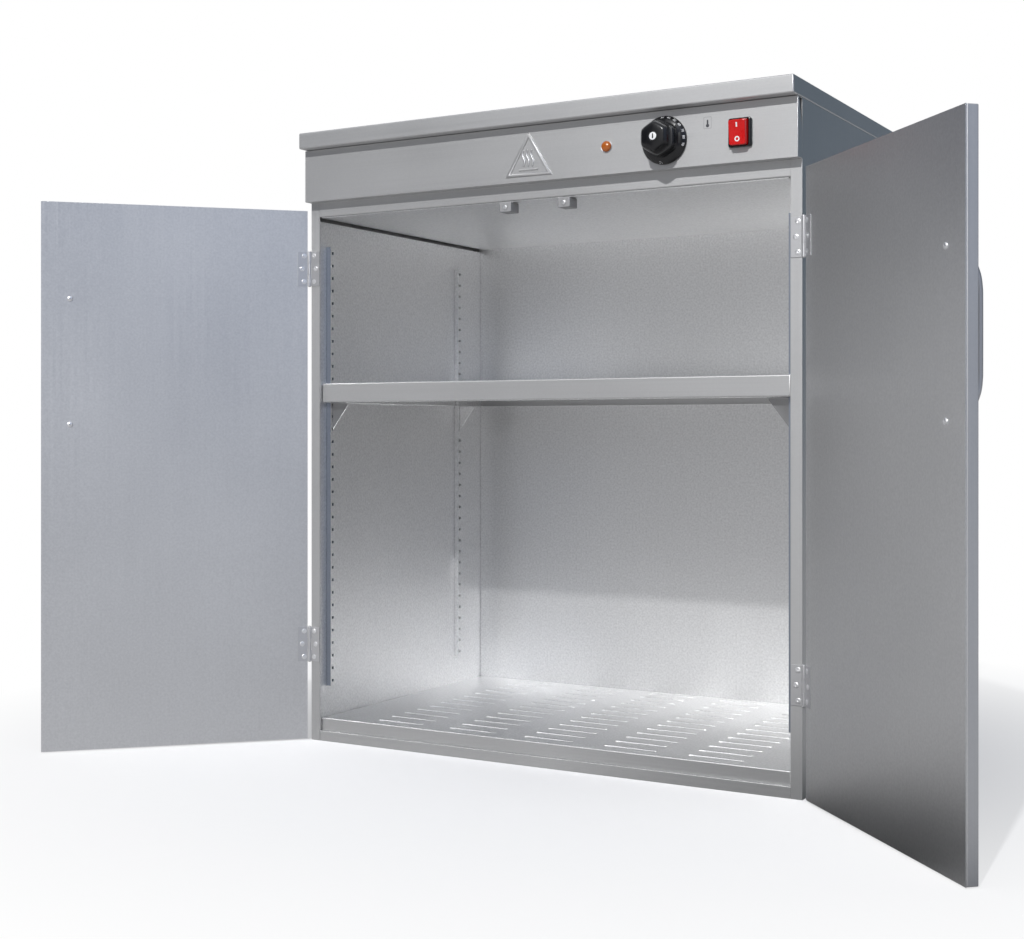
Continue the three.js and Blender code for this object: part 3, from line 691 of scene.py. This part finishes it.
def add_floor_tray():
    node = "floor_tray"
    recolour(add_folded(node, 2.4 * MM), "brushed_steel", faces_front)
    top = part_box(node)[1].z
    bm = bmesh.new()
    for left, right, y in slot_places():
        add_louvre(bm, left, right, y, top)
    add_piece("floor_tray_louvres", bm, BODY_OF[node], material_of(node))


def add_catches():
    """Each magnetic catch: a moulded case with a bright round pole piece in its face."""
    for side in SIDES:
        node = f"{side}_door_catch"
        low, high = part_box(node)
        add_folded(node, 1.2 * MM)
        bm = bmesh.new()
        radius = 3.7 * MM
        profile = [(radius, -2.0 * MM), (radius, -0.7 * MM), (0.92 * radius, -0.3 * MM), (0.75 * radius, 0.0),
                   (0.45 * radius, 0.2 * MM), (0.1 * radius, 0.25 * MM)]
        turned(bm, facing(centre_of(low, high, low.y), (0, -1, 0)), profile)
        add_piece(f"{node}_pole", bm, "cabinet", MATERIALS["screw_zinc"])


# ---- marks pressed or printed on the panel

def add_ridge(bm, place, path, width, height, closed=False):
    """A rounded ridge pressed along a flat path, mitred at its corners."""
    count, steps, root = len(path), 6, -0.4 * MM
    profile = []
    for step in range(steps + 1):
        angle = math.radians(180) * step / steps
        profile.append((math.cos(angle) * width / 2, math.sin(angle) * height))
    profile += [(-width / 2, root), (width / 2, root)]
    rings = []
    for i, point in enumerate(path):
        before = path[i - 1] if closed or i else point
        after = path[(i + 1) % count] if closed or i < count - 1 else point
        arriving = (point - before).normalized() if point != before else (after - point).normalized()
        leaving = (after - point).normalized() if after != point else arriving
        ahead = (arriving + leaving).normalized()
        spread = 1 / max(0.3, ahead.dot(leaving))
        across = Vector((-ahead.y, ahead.x)) * spread
        rings.append([place @ Vector((*(point + across * off), out)) for off, out in profile])
    loft(bm, rings, closed)


def add_hot_surface_mark():
    """A plain pressed triangle with three waves of rising heat over a bar."""
    middle_x = (PANEL_LOW.x + PANEL_HIGH.x) / 2 - 0.7 * MM
    base_z = PANEL_LOW.z + 9.5 * MM
    place = facing(Vector((middle_x, PANEL_Y, base_z)), (0, -1, 0))
    half, tall = 31.5 * MM, 52.5 * MM
    bm = bmesh.new()
    corners = [Vector((-half, 0)), Vector((half, 0)), Vector((0, tall))]
    add_ridge(bm, place, corners, 4.6 * MM, 2.3 * MM, closed=True)
    bar_half, bar_height, line = 14.5 * MM, 6.5 * MM, 3.2 * MM
    add_ridge(bm, place, [Vector((-bar_half, bar_height)), Vector((bar_half, bar_height))], line, 1.6 * MM)
    wave_low, wave_high, sway, wave_pitch, wave_shift = 11.5 * MM, 33 * MM, 1.9 * MM, 6.6 * MM, -1.5 * MM
    steps = 16
    for column in (-1, 0, 1):
        wave = []
        for step in range(steps + 1):
            share = step / steps
            swing = sway * math.sin(2 * math.pi * share)
            x = column * wave_pitch + swing + wave_shift
            wave.append(Vector((x, wave_low + (wave_high - wave_low) * share)))
        add_ridge(bm, place, wave, line, 1.7 * MM)
    add_piece("hot_surface_mark", bm, "cabinet", MATERIALS["brushed_steel"])


def add_thermometer_mark():
    """A small printed thermometer in a frame, beside the dial."""
    knob_high, switch_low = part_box("thermostat_knob")[1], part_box("switch_housing")[0]
    centre = Vector(((knob_high.x + switch_low.x) / 2 - 0.6 * MM, PANEL_Y, knob_high.z - 14 * MM))
    place = facing(centre, (0, -1, 0))
    ink = 0.08 * MM             # thickness of the print
    half_width, half_height, line = 5.2 * MM, 7.3 * MM, 0.4 * MM
    bm = bmesh.new()
    outer = rounded_rectangle(half_width, half_height, 0.5 * MM, 3)
    inner = rounded_rectangle(half_width - line, half_height - line, 0.3 * MM, 3)
    edges = ((outer, -ink), (outer, ink), (inner, ink), (inner, -ink))
    loft(bm, [ring(place, outline, height) for outline, height in edges], closed=True)
    add_piece("thermometer_frame_mark", bm, "cabinet", MATERIALS["pale_print"])
    bm = bmesh.new()
    stem = [(x, y + 0.2 * MM) for x, y in rounded_rectangle(1.05 * MM, 3.6 * MM, 1.0 * MM)]
    loft(bm, [ring(place, stem, -ink), ring(place, stem, ink)])
    bulb = [(x, y - 3.6 * MM) for x, y in circle(2.2 * MM, 24)]
    loft(bm, [ring(place, bulb, -ink), ring(place, bulb, 1.2 * ink)])
    add_piece("thermometer_mark", bm, "cabinet", MATERIALS["grey_print"])


# ---- knob, switch and lamp

def knob_outline(radius, hexness, steps=96):
    """A ring between a circle and a soft-cornered hexagon that has a corner at the top."""
    points = []
    for i in range(steps):
        angle = 2 * math.pi * i / steps
        from_corner = (angle + math.pi / 6) % (math.pi / 3) - math.pi / 6
        flat = math.cos(math.pi / 6) / math.cos(math.pi / 6 - abs(from_corner))
        softened = (flat ** -20 + 0.95 ** -20) ** (-1 / 20)
        reach = radius * ((1 - hexness) + hexness * softened)
        points.append((reach * math.sin(angle), reach * math.cos(angle)))
    return points


def add_knob():
    node = "thermostat_knob"
    low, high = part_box(node)
    place = facing(centre_of(low, high, PANEL_Y), (0, -1, 0))
    skirt = (high.x - low.x) / 2
    back, front = PANEL_Y - high.y, PANEL_Y - low.y
    skirt_front = back + 6.9 * MM
    lip = front - 16 * MM          # the widest edge of the grip
    grip = 0.805 * skirt
    # Each step out from the panel: its radius, how hexagonal it is, and its height.
    skirt_steps = [(skirt - 0.5 * MM, 0, back), (skirt, 0, back + 0.5 * MM), (skirt, 0, back + 2.3 * MM),
                   (skirt - 0.4 * MM, 0, back + 2.8 * MM), (grip + 1.4 * MM, 0, skirt_front - 0.4 * MM)]
    waist_steps = [(grip + 0.6 * MM, 1, skirt_front + 0.3 * MM), (grip - 0.2 * MM, 1, skirt_front + 1.2 * MM),
                   (grip - 0.2 * MM, 1, lip - 1.4 * MM)]
    lip_steps = [(grip, 1, lip - 1.0 * MM), (grip, 1, lip - 0.4 * MM), (grip - 0.5 * MM, 1, lip),
                 (grip - 1.0 * MM, 1, lip + 0.3 * MM)]
    crown_steps = [(0.955 * grip, 1, lip + 3 * MM), (0.925 * grip, 1, lip + 7 * MM),
                   (0.87 * grip, 1, lip + 10.6 * MM), (0.80 * grip, 1, lip + 13.4 * MM),
                   (0.72 * grip, 0.9, lip + 15.2 * MM), (0.62 * grip, 0.6, front)]
    well_steps = [(6.0 * MM, 0, front), (5.5 * MM, 0, front - 0.5 * MM)]
    profile = skirt_steps + waist_steps + lip_steps + crown_steps + well_steps
    bm = bmesh.new()
    loft(bm, [ring(place, knob_outline(radius, hexness), height) for radius, hexness, height in profile])
    add_stand_in("thermostat_knob_moulding", bm, node)

    badge = bmesh.new()
    radius, face = 4.9 * MM, front - 0.5 * MM
    disc = [(radius, face - 0.5 * MM), (radius, face + 0.1 * MM), (0.9 * radius, face + 0.2 * MM)]
    turned(badge, place, disc)
    add_piece("knob_centre_cap", badge, "knob", MATERIALS["white_print"])
    bar = bmesh.new()
    outline = rounded_rectangle(0.8 * MM, 3.0 * MM, 0.5 * MM)
    loft(bar, [ring(place, outline, face), ring(place, outline, face + 0.3 * MM)])
    add_piece("knob_centre_bar", bar, "knob", MATERIALS["black_plastic"])
    add_dial_numbers(place, skirt, grip, back)


def add_dial_numbers(place, skirt, grip, back):
    """Temperatures in white round the sloping skirt, with their unit at the bottom."""
    inner, outer = grip + 1.4 * MM, skirt - 0.4 * MM
    rise, middle_height = 3.7 * MM, 4.75 * MM       # of the slope, and of its middle above the knob's back
    slope = math.atan2(rise, outer - inner)
    coolest, number_step = 30, 10
    first_turn, turn_step, unit_turn = -2, 18, 186  # degrees clockwise from the top
    marks = [(str(coolest + number_step * i), first_turn + turn_step * i) for i in range(7)]
    marks.append(("\u00b0C", unit_turn))
    bm = bmesh.new()
    for label, degrees in marks:
        curve = bpy.data.curves.new(f"dial_{degrees}", "FONT")
        curve.body = label
        curve.size = 4.6 * MM
        curve.align_x = "CENTER"
        curve.align_y = "CENTER"
        curve.extrude = 0.08 * MM
        curve.resolution_u = 3
        text = bpy.data.objects.new(curve.name, curve)
        SCENE.collection.objects.link(text)
        bpy.context.view_layer.update()
        mesh = bpy.data.meshes.new_from_object(text)
        turn = Matrix.Rotation(-math.radians(degrees), 4, "Z")
        tilt = Matrix.Rotation(-slope, 4, "X")
        seat = Matrix.Translation(Vector((0, (inner + outer) / 2, back + middle_height)))
        mesh.transform(place @ turn @ seat @ tilt)
        bm.from_mesh(mesh)
        bpy.data.objects.remove(text)
        bpy.data.meshes.remove(mesh)
    add_piece("dial_numbers", bm, "knob", MATERIALS["white_print"])


def add_switch():
    """A framed switch housing with a dished rocker, tipped with its lower end in."""
    node = "switch_housing"
    low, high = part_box(node)
    place = facing(centre_of(low, high, PANEL_Y), (0, -1, 0))
    half_width, half_height, proud = (high.x - low.x) / 2, (high.z - low.z) / 2, PANEL_Y - low.y
    rocker_low, rocker_high = box_before("switch_rocker", rocker_turn())
    rocker_half = Vector((rocker_high.x - rocker_low.x, rocker_high.z - rocker_low.z)) / 2
    mouth_x, mouth_z = rocker_half.x + 0.3 * MM, rocker_half.y + 0.7 * MM
    rear = PANEL_Y - high.y
    # Each step: half its width, half its height, its corner radius, and how far it is in front of the panel.
    stages = [(mouth_x + 1.0 * MM, mouth_z + 1.0 * MM, 1.5 * MM, rear),
              (mouth_x + 1.0 * MM, mouth_z + 1.0 * MM, 1.5 * MM, -1.2 * MM),
              (half_width, half_height, 3.4 * MM, 0.3 * MM),
              (half_width, half_height, 3.4 * MM, proud - 1.8 * MM),
              (half_width - 0.4 * MM, half_height - 0.3 * MM, 3.2 * MM, proud - 0.8 * MM),
              (half_width - 1.2 * MM, half_height - 0.8 * MM, 2.8 * MM, proud - 0.1 * MM),
              (mouth_x + 0.8 * MM, mouth_z + 0.5 * MM, 2.4 * MM, proud),
              (mouth_x, mouth_z, 1.6 * MM, proud - 0.6 * MM),
              (mouth_x, mouth_z, 1.6 * MM, -3.5 * MM)]
    bm = bmesh.new()
    loft(bm, [ring(place, rounded_rectangle(x, z, r), out) for x, z, r, out in stages])
    add_stand_in("switch_frame", bm, node)
    add_rocker(rocker_half)


def rocker_turn():
    """Carries the level rocker to the way it tips at rest."""
    joint = JOINTS["switch_rock"]
    pivot = Matrix.Translation(joint["pos_m"])
    tilt = -math.radians(joint["range_deg"][1]) / 2
    return pivot @ Matrix.Rotation(tilt, 4, Vector(joint["axis"])) @ pivot.inverted()


def add_rocker(half):
    node = "switch_rocker"
    low, high = box_before(node, rocker_turn())
    pivot = Vector(JOINTS["switch_rock"]["pos_m"])
    place = rocker_turn() @ facing(pivot, (0, -1, 0))
    crest, back, dish = pivot.y - low.y, pivot.y - high.y, 1.2 * MM

    def face_height(y):
        return crest - dish * (1 - (y / half.y) ** 2)

    def across(outline, drop):
        return [place @ Vector((x, y, face_height(y) - drop)) for x, y in outline]

    bm = bmesh.new()
    rings = [ring(place, rounded_rectangle(half.x, half.y, 2.0 * MM), back),
             ring(place, rounded_rectangle(half.x, half.y, 2.2 * MM), 3 * MM)]
    for inset, drop in ((0.3 * MM, 1.6 * MM), (0.45 * MM, 0.8 * MM), (0.8 * MM, 0.25 * MM), (1.5 * MM, 0.0)):
        rings.append(across(rounded_rectangle(half.x - inset, half.y - inset, 2.6 * MM), drop))
    for share in (0.85, 0.65, 0.45, 0.25, 0.1):
        rings.append(across(rounded_rectangle(half.x * share, half.y * share, 2.4 * MM * share), 0.0))
    loft(bm, rings)
    add_stand_in("switch_rocker_moulding", bm, node)

    marks = bmesh.new()
    bar_y, ring_y, proud = 9.2 * MM, -8.2 * MM, 0.12 * MM
    root, ring_outer, ring_inner = -0.4 * MM, 3.3 * MM, 1.8 * MM
    bar = [(x, y + bar_y) for x, y in rounded_rectangle(1.0 * MM, 2.8 * MM, 0.2 * MM, 2)]
    loft(marks, [across(bar, -out) for out in (root, proud)])
    rows = []
    for radius, out in ((ring_outer, root), (ring_outer, proud), (ring_inner, proud), (ring_inner, root)):
        rows.append(across([(x, y + ring_y) for x, y in circle(radius, 32)], -out))
    loft(marks, rows, closed=True)
    add_piece("switch_on_off_marks", marks, "rocker", MATERIALS["white_print"])


def add_lamp():
    node = "pilot_lamp_lens"
    low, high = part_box(node)
    place = facing(centre_of(low, high, PANEL_Y), (0, -1, 0))
    radius, proud = (high.x - low.x) / 2, PANEL_Y - low.y
    foot, stem, dome = 1.2 * MM, 4.5 * MM, radius - 0.7 * MM
    profile = [(stem, PANEL_Y - high.y), (stem, 0.2 * MM), (dome, 0.25 * MM), (dome, foot)]
    steps = 10
    for step in range(steps):
        angle = math.radians(85) * (step + 1) / steps
        profile.append((dome * math.cos(angle), foot + (proud - foot) * math.sin(angle)))
    bm = bmesh.new()
    turned(bm, place, profile)
    add_stand_in("pilot_lamp_dome", bm, node)
    bezel = bmesh.new()
    inner = radius - 0.6 * MM
    rows = [(radius, 0.2 * MM), (radius, 1.0 * MM), (radius - 0.25 * MM, 1.5 * MM), (inner, 1.4 * MM),
            (inner, 0.2 * MM)]
    loft(bezel, [ring(place, circle(r), out) for r, out in rows], closed=True)
    add_piece("pilot_lamp_bezel", bezel, "cabinet", MATERIALS["zinc_plate"])


# ---- back and hidden parts

def add_gland():
    node = "cable_gland"
    low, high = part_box(node)
    place = facing(centre_of(low, high, BODY_HIGH.y), (0, 1, 0))
    radius, proud, bore = (high.z - low.z) / 2, high.y - BODY_HIGH.y, 4.3 * MM
    bm = bmesh.new()
    inner, stem = BODY_HIGH.y - low.y, 7.0 * MM
    rings = [ring(place, circle(r), out) for r, out in ((bore, -inner), (stem, -inner), (stem, 0.3 * MM))]
    for scale, out in ((0.96, 0.4 * MM), (1.0, 1.0 * MM), (1.0, 6.4 * MM), (0.95, 7.2 * MM)):
        rings.append(ring(place, hexagonal(radius * scale, ROUND), out))
    for r, out in ((7.6 * MM, 7.8 * MM), (6.4 * MM, proud - 0.6 * MM), (5.6 * MM, proud), (bore, proud)):
        rings.append(ring(place, circle(r), out))
    loft(bm, rings, closed=True)
    add_stand_in("cable_gland_nut", bm, node)


def hexagonal(radius, steps):
    """A hexagon with softened corners."""
    points = []
    for i in range(steps):
        angle = 2 * math.pi * i / steps
        local = (angle + math.pi / 6) % (math.pi / 3) - math.pi / 6
        flat = radius * math.cos(math.pi / 6) / math.cos(local)
        reach = min(flat, 0.97 * radius)
        points.append((reach * math.cos(angle), reach * math.sin(angle)))
    return points


def add_cord():
    """The mains cord: out of the gland, down the back, and along the floor to its plug."""
    low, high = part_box("power_cable")
    radius, bend = 4.0 * MM, 10 * MM
    gland_low, gland_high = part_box("cable_gland")
    drop_x, entry_z = (gland_low.x + gland_high.x) / 2, (gland_low.z + gland_high.z) / 2
    run_y, run_z = high.y - radius, low.z + radius
    plug_low, plug_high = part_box("mains_plug")
    plug_x, plug_z = plug_high.x, (plug_low.z + plug_high.z) / 2
    rise_start, rise_end = plug_x + 50 * MM, plug_x + 20 * MM
    corners = [(drop_x, low.y, entry_z), (drop_x, run_y, entry_z), (drop_x, run_y, run_z),
               (rise_start, run_y, run_z), (rise_end, run_y, plug_z), (low.x, run_y, plug_z)]
    bm = bmesh.new()
    sweep(bm, bent(corners, bend), radius)
    add_stand_in("mains_cord", bm, "power_cable")


def add_plug():
    """A round plug with a ribbed sleeve where the cord comes out, and two pins."""
    node = "mains_plug"
    low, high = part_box(node)
    place = facing(Vector((high.x, (low.y + high.y) / 2, (low.z + high.z) / 2)), (-1, 0, 0))
    radius = (high.z - low.z) / 2
    rib_radius, groove_radius, rib_pitch = 6.9 * MM, 5.7 * MM, 3.4 * MM
    sleeve = [(4.3 * MM, 12 * MM), (4.3 * MM, 0.3 * MM), (5.6 * MM, 0.0), (6.5 * MM, 0.8 * MM)]
    for rib in range(4):
        start = 2 * MM + rib_pitch * rib
        sleeve += [(6.7 * MM, start), (groove_radius, start + 0.7 * MM), (groove_radius, start + 2.0 * MM),
                   (rib_radius, start + 2.7 * MM)]
    body = [(8.4 * MM, 17 * MM), (12.6 * MM, 24 * MM), (0.93 * radius, 27.5 * MM), (radius, 30.5 * MM),
            (radius, 41 * MM), (0.95 * radius, 43.2 * MM), (0.87 * radius, 44 * MM)]
    bm = bmesh.new()
    turned(bm, place, sleeve + body)
    pin_offset = 9.5 * MM
    pin = [(2.4 * MM, 43 * MM), (2.4 * MM, 62.5 * MM), (1.9 * MM, 63.7 * MM), (0.8 * MM, 64 * MM)]
    for offset in (-pin_offset, pin_offset):
        turned(bm, place @ Matrix.Translation((0, offset, 0)), pin, 20)
    add_stand_in("mains_plug_moulding", bm, node)


def add_back_screws(mesh):
    """Screws round the edge of the back panel."""
    inset = 9 * MM
    x_end = BODY_HIGH.x - inset
    low, high = BODY_LOW.z + inset, BODY_HIGH.z - inset
    places = [(x, z) for z in (low, high) for x in (-x_end, -x_end / 3, x_end / 3, x_end)]
    places += [(x, low + (high - low) * share) for share in (1 / 3, 2 / 3) for x in (-x_end, x_end)]
    for i, (x, z) in enumerate(places):
        place = facing(Vector((x, BODY_HIGH.y, z)), (0, 1, 0))
        add_screw(f"back_panel_screw_{i}", mesh, place, "cabinet", 0.7 * i)


def dress_hidden_nodes():
    """Gives each CAD node that still shows its own finish."""
    for name, node in frame["nodes"].items():
        if not node.hide_render:
            node.data.materials.clear()
            node.data.materials.append(material_of(name))


# ---- stage

FLOOR_COLOR = (0.86, 0.86, 0.87)
FLOOR_FADE = 1.1                  # metres from the middle to where the floor is plain white
FLOOR_REFLECTION = (0.46, 0.46, 0.47)
PAINTED_FLOOR_SHADOW = (0.44, -0.38, 0)      # painted shadow on the floor, seen only in reflections: the place that reflects least, in front of the right door
PAINTED_FLOOR_SHADOW_REACH = (0.12, 0.46)    # metres from the painted shadow's middle to where it starts and stops getting brighter
PAINTED_FLOOR_SHADOW_LIGHT = 0.03            # what is left of the floor's reflection in the middle of the painted shadow
ROOM_BASE = (0.062, 0.069, 0.085)
# Each soft patch of the room: its direction from the cabinet, its inner and outer half angle in degrees,
# and its light.
ROOM_PATCHES = (
    ((0.0, -1.0, 0.10), 8, 34, (0.44, 0.44, 0.44)),
    ((0.78, -0.62, 0.65), 5, 42, (0.14, 0.18, 0.28)),
    ((1.0, -0.25, 0.25), 5, 35, (0.24, 0.28, 0.36)),
    ((0.3, 0.95, 0.0), 10, 50, (0.02, 0.06, 0.09)),
    ((0.0, -0.10, 1.0), 20, 70, (0.45, 0.46, 0.48)),
    ((-1.0, -0.3, 0.4), 10, 40, (0.08, 0.08, 0.09)),
)
KEY_RISE = 35             # degrees above the horizon
KEY_SWING = 5             # degrees to the right of straight in front of the doors
KEY_STRENGTH = 2.45


def mixed(tree_owner, factor, first, second):
    """Blends two shaders: the first where the factor is 0 and the second where it is 1."""
    mix = tree_owner.node_tree.nodes.new("ShaderNodeMixShader")
    link(tree_owner, factor, mix.inputs["Fac"])
    link(tree_owner, first, mix.inputs[1])
    link(tree_owner, second, mix.inputs[2])
    return mix.outputs["Shader"]


def seen_by_camera(tree_owner):
    return tree_owner.node_tree.nodes.new("ShaderNodeLightPath").outputs["Is Camera Ray"]


def rising_from(material, spot, near, far, start=0.0):
    """A number that goes from its start to 1 between two distances from a spot on the floor."""
    nodes = material.node_tree.nodes
    distance = nodes.new("ShaderNodeVectorMath")
    distance.operation = "DISTANCE"
    distance.inputs[1].default_value = spot
    link(material, object_coordinates(material), distance.inputs[0])
    rise = nodes.new("ShaderNodeMapRange")
    rise.inputs["From Min"].default_value = near
    rise.inputs["From Max"].default_value = far
    rise.inputs["To Min"].default_value = start
    link(material, distance.outputs["Value"], rise.inputs["Value"])
    return rise.outputs["Result"]


def floor_material():
    """Pale under the cabinet and fading to white around it. In reflections it is a dimmer glow, with a
    painted shadow pool in front of the right door.
    """
    material = new_material("studio_floor")
    nodes = material.node_tree.nodes
    shader = principled(material)
    shader.inputs["Roughness"].default_value = 0.9
    shader.inputs["Specular IOR Level"].default_value = 0.1
    grain = noise(material, object_coordinates(material), 40.0)
    tinted(material, FLOOR_COLOR, varied(material, 1.0, [(grain, 0.02)]), shader.inputs["Base Color"])
    glow = nodes.new("ShaderNodeEmission")
    fade = rising_from(material, (0, 0, 0), 0.0, FLOOR_FADE)
    pale = mixed(material, fade, shader.outputs["BSDF"], glow.outputs["Emission"])
    dim = nodes.new("ShaderNodeEmission")
    dim.inputs["Color"].default_value = (*FLOOR_REFLECTION, 1)
    # painted shadow: the reflected floor glow fades almost to nothing in front of the right door
    strength = rising_from(material, PAINTED_FLOOR_SHADOW, *PAINTED_FLOOR_SHADOW_REACH, PAINTED_FLOOR_SHADOW_LIGHT)
    link(material, strength, dim.inputs["Strength"])
    surface = mixed(material, seen_by_camera(material), dim.outputs["Emission"], pale)
    link(material, surface, nodes["Material Output"].inputs["Surface"])
    return material


def add_floor():
    """A pale studio floor that fades into the white background."""
    bpy.ops.mesh.primitive_circle_add(vertices=96, radius=14, fill_type="NGON", location=(0, 0, -0.3 * MM))
    floor = bpy.context.object
    floor.name = "studio_floor"
    floor.data.materials.append(floor_material())


def add_room():
    """The light that the steel reflects: a dim room with soft patches. The camera sees plain white."""
    world = bpy.data.worlds.new("studio")
    world.use_nodes = True
    SCENE.world = world
    nodes = world.node_tree.nodes
    direction = nodes.new("ShaderNodeTexCoord").outputs["Generated"]
    total = None
    for towards, inner, outer, light in ROOM_PATCHES:
        closeness = nodes.new("ShaderNodeVectorMath")
        closeness.operation = "DOT_PRODUCT"
        closeness.inputs[1].default_value = Vector(towards).normalized()
        link(world, direction, closeness.inputs[0])
        patch = nodes.new("ShaderNodeMapRange")
        patch.interpolation_type = "SMOOTHERSTEP"
        patch.inputs["From Min"].default_value = math.cos(math.radians(outer))
        patch.inputs["From Max"].default_value = math.cos(math.radians(inner))
        link(world, closeness.outputs["Value"], patch.inputs["Value"])
        color = nodes.new("ShaderNodeVectorMath")
        color.operation = "MULTIPLY_ADD"
        color.inputs[1].default_value = light
        color.inputs[2].default_value = ROOM_BASE
        link(world, patch.outputs["Result"], color.inputs[0])
        if total is not None:
            link(world, total, color.inputs[2])
        total = color.outputs["Vector"]
    background = nodes["Background"]
    link(world, total, background.inputs["Color"])
    white = nodes.new("ShaderNodeBackground")
    white.inputs["Color"].default_value = (1, 1, 1, 1)
    room, plain = background.outputs["Background"], white.outputs["Background"]
    surface = mixed(world, seen_by_camera(world), room, plain)
    link(world, surface, nodes["World Output"].inputs["Surface"])


def add_key_light():
    data = bpy.data.lights.new("key", "SUN")
    data.energy = KEY_STRENGTH
    data.angle = math.radians(1.6)
    key = bpy.data.objects.new("key", data)
    rise, swing = math.radians(KEY_RISE), math.radians(KEY_SWING)
    shine = Vector((-math.sin(swing) * math.cos(rise), math.cos(swing) * math.cos(rise), -math.sin(rise)))
    key.rotation_euler = shine.to_track_quat("-Z", "Y").to_euler()
    SCENE.collection.objects.link(key)


def add_camera():
    """A level camera to the right of the cabinet, with its lens shifted down to keep the uprights upright."""
    data = bpy.data.cameras.new("camera")
    data.lens = 54.13
    data.shift_x = -0.0096
    data.shift_y = -0.0362
    camera = bpy.data.objects.new("camera", data)
    camera.location = (1.0148, -2.0262, 0.4493)
    camera.rotation_euler = (math.radians(90), 0, math.radians(29.878))
    SCENE.collection.objects.link(camera)
    SCENE.camera = camera


def set_tones():
    SCENE.view_settings.view_transform = "Standard"


# ---- the scene

add_casing()
add_floor_tray()
add_catches()
pan_head = add_doors()
add_hot_surface_mark()
add_thermometer_mark()
add_knob()
add_switch()
add_lamp()
add_gland()
add_cord()
add_plug()
add_back_screws(pan_head)
dress_hidden_nodes()

add_floor()
add_room()
add_key_light()
add_camera()
set_tones()
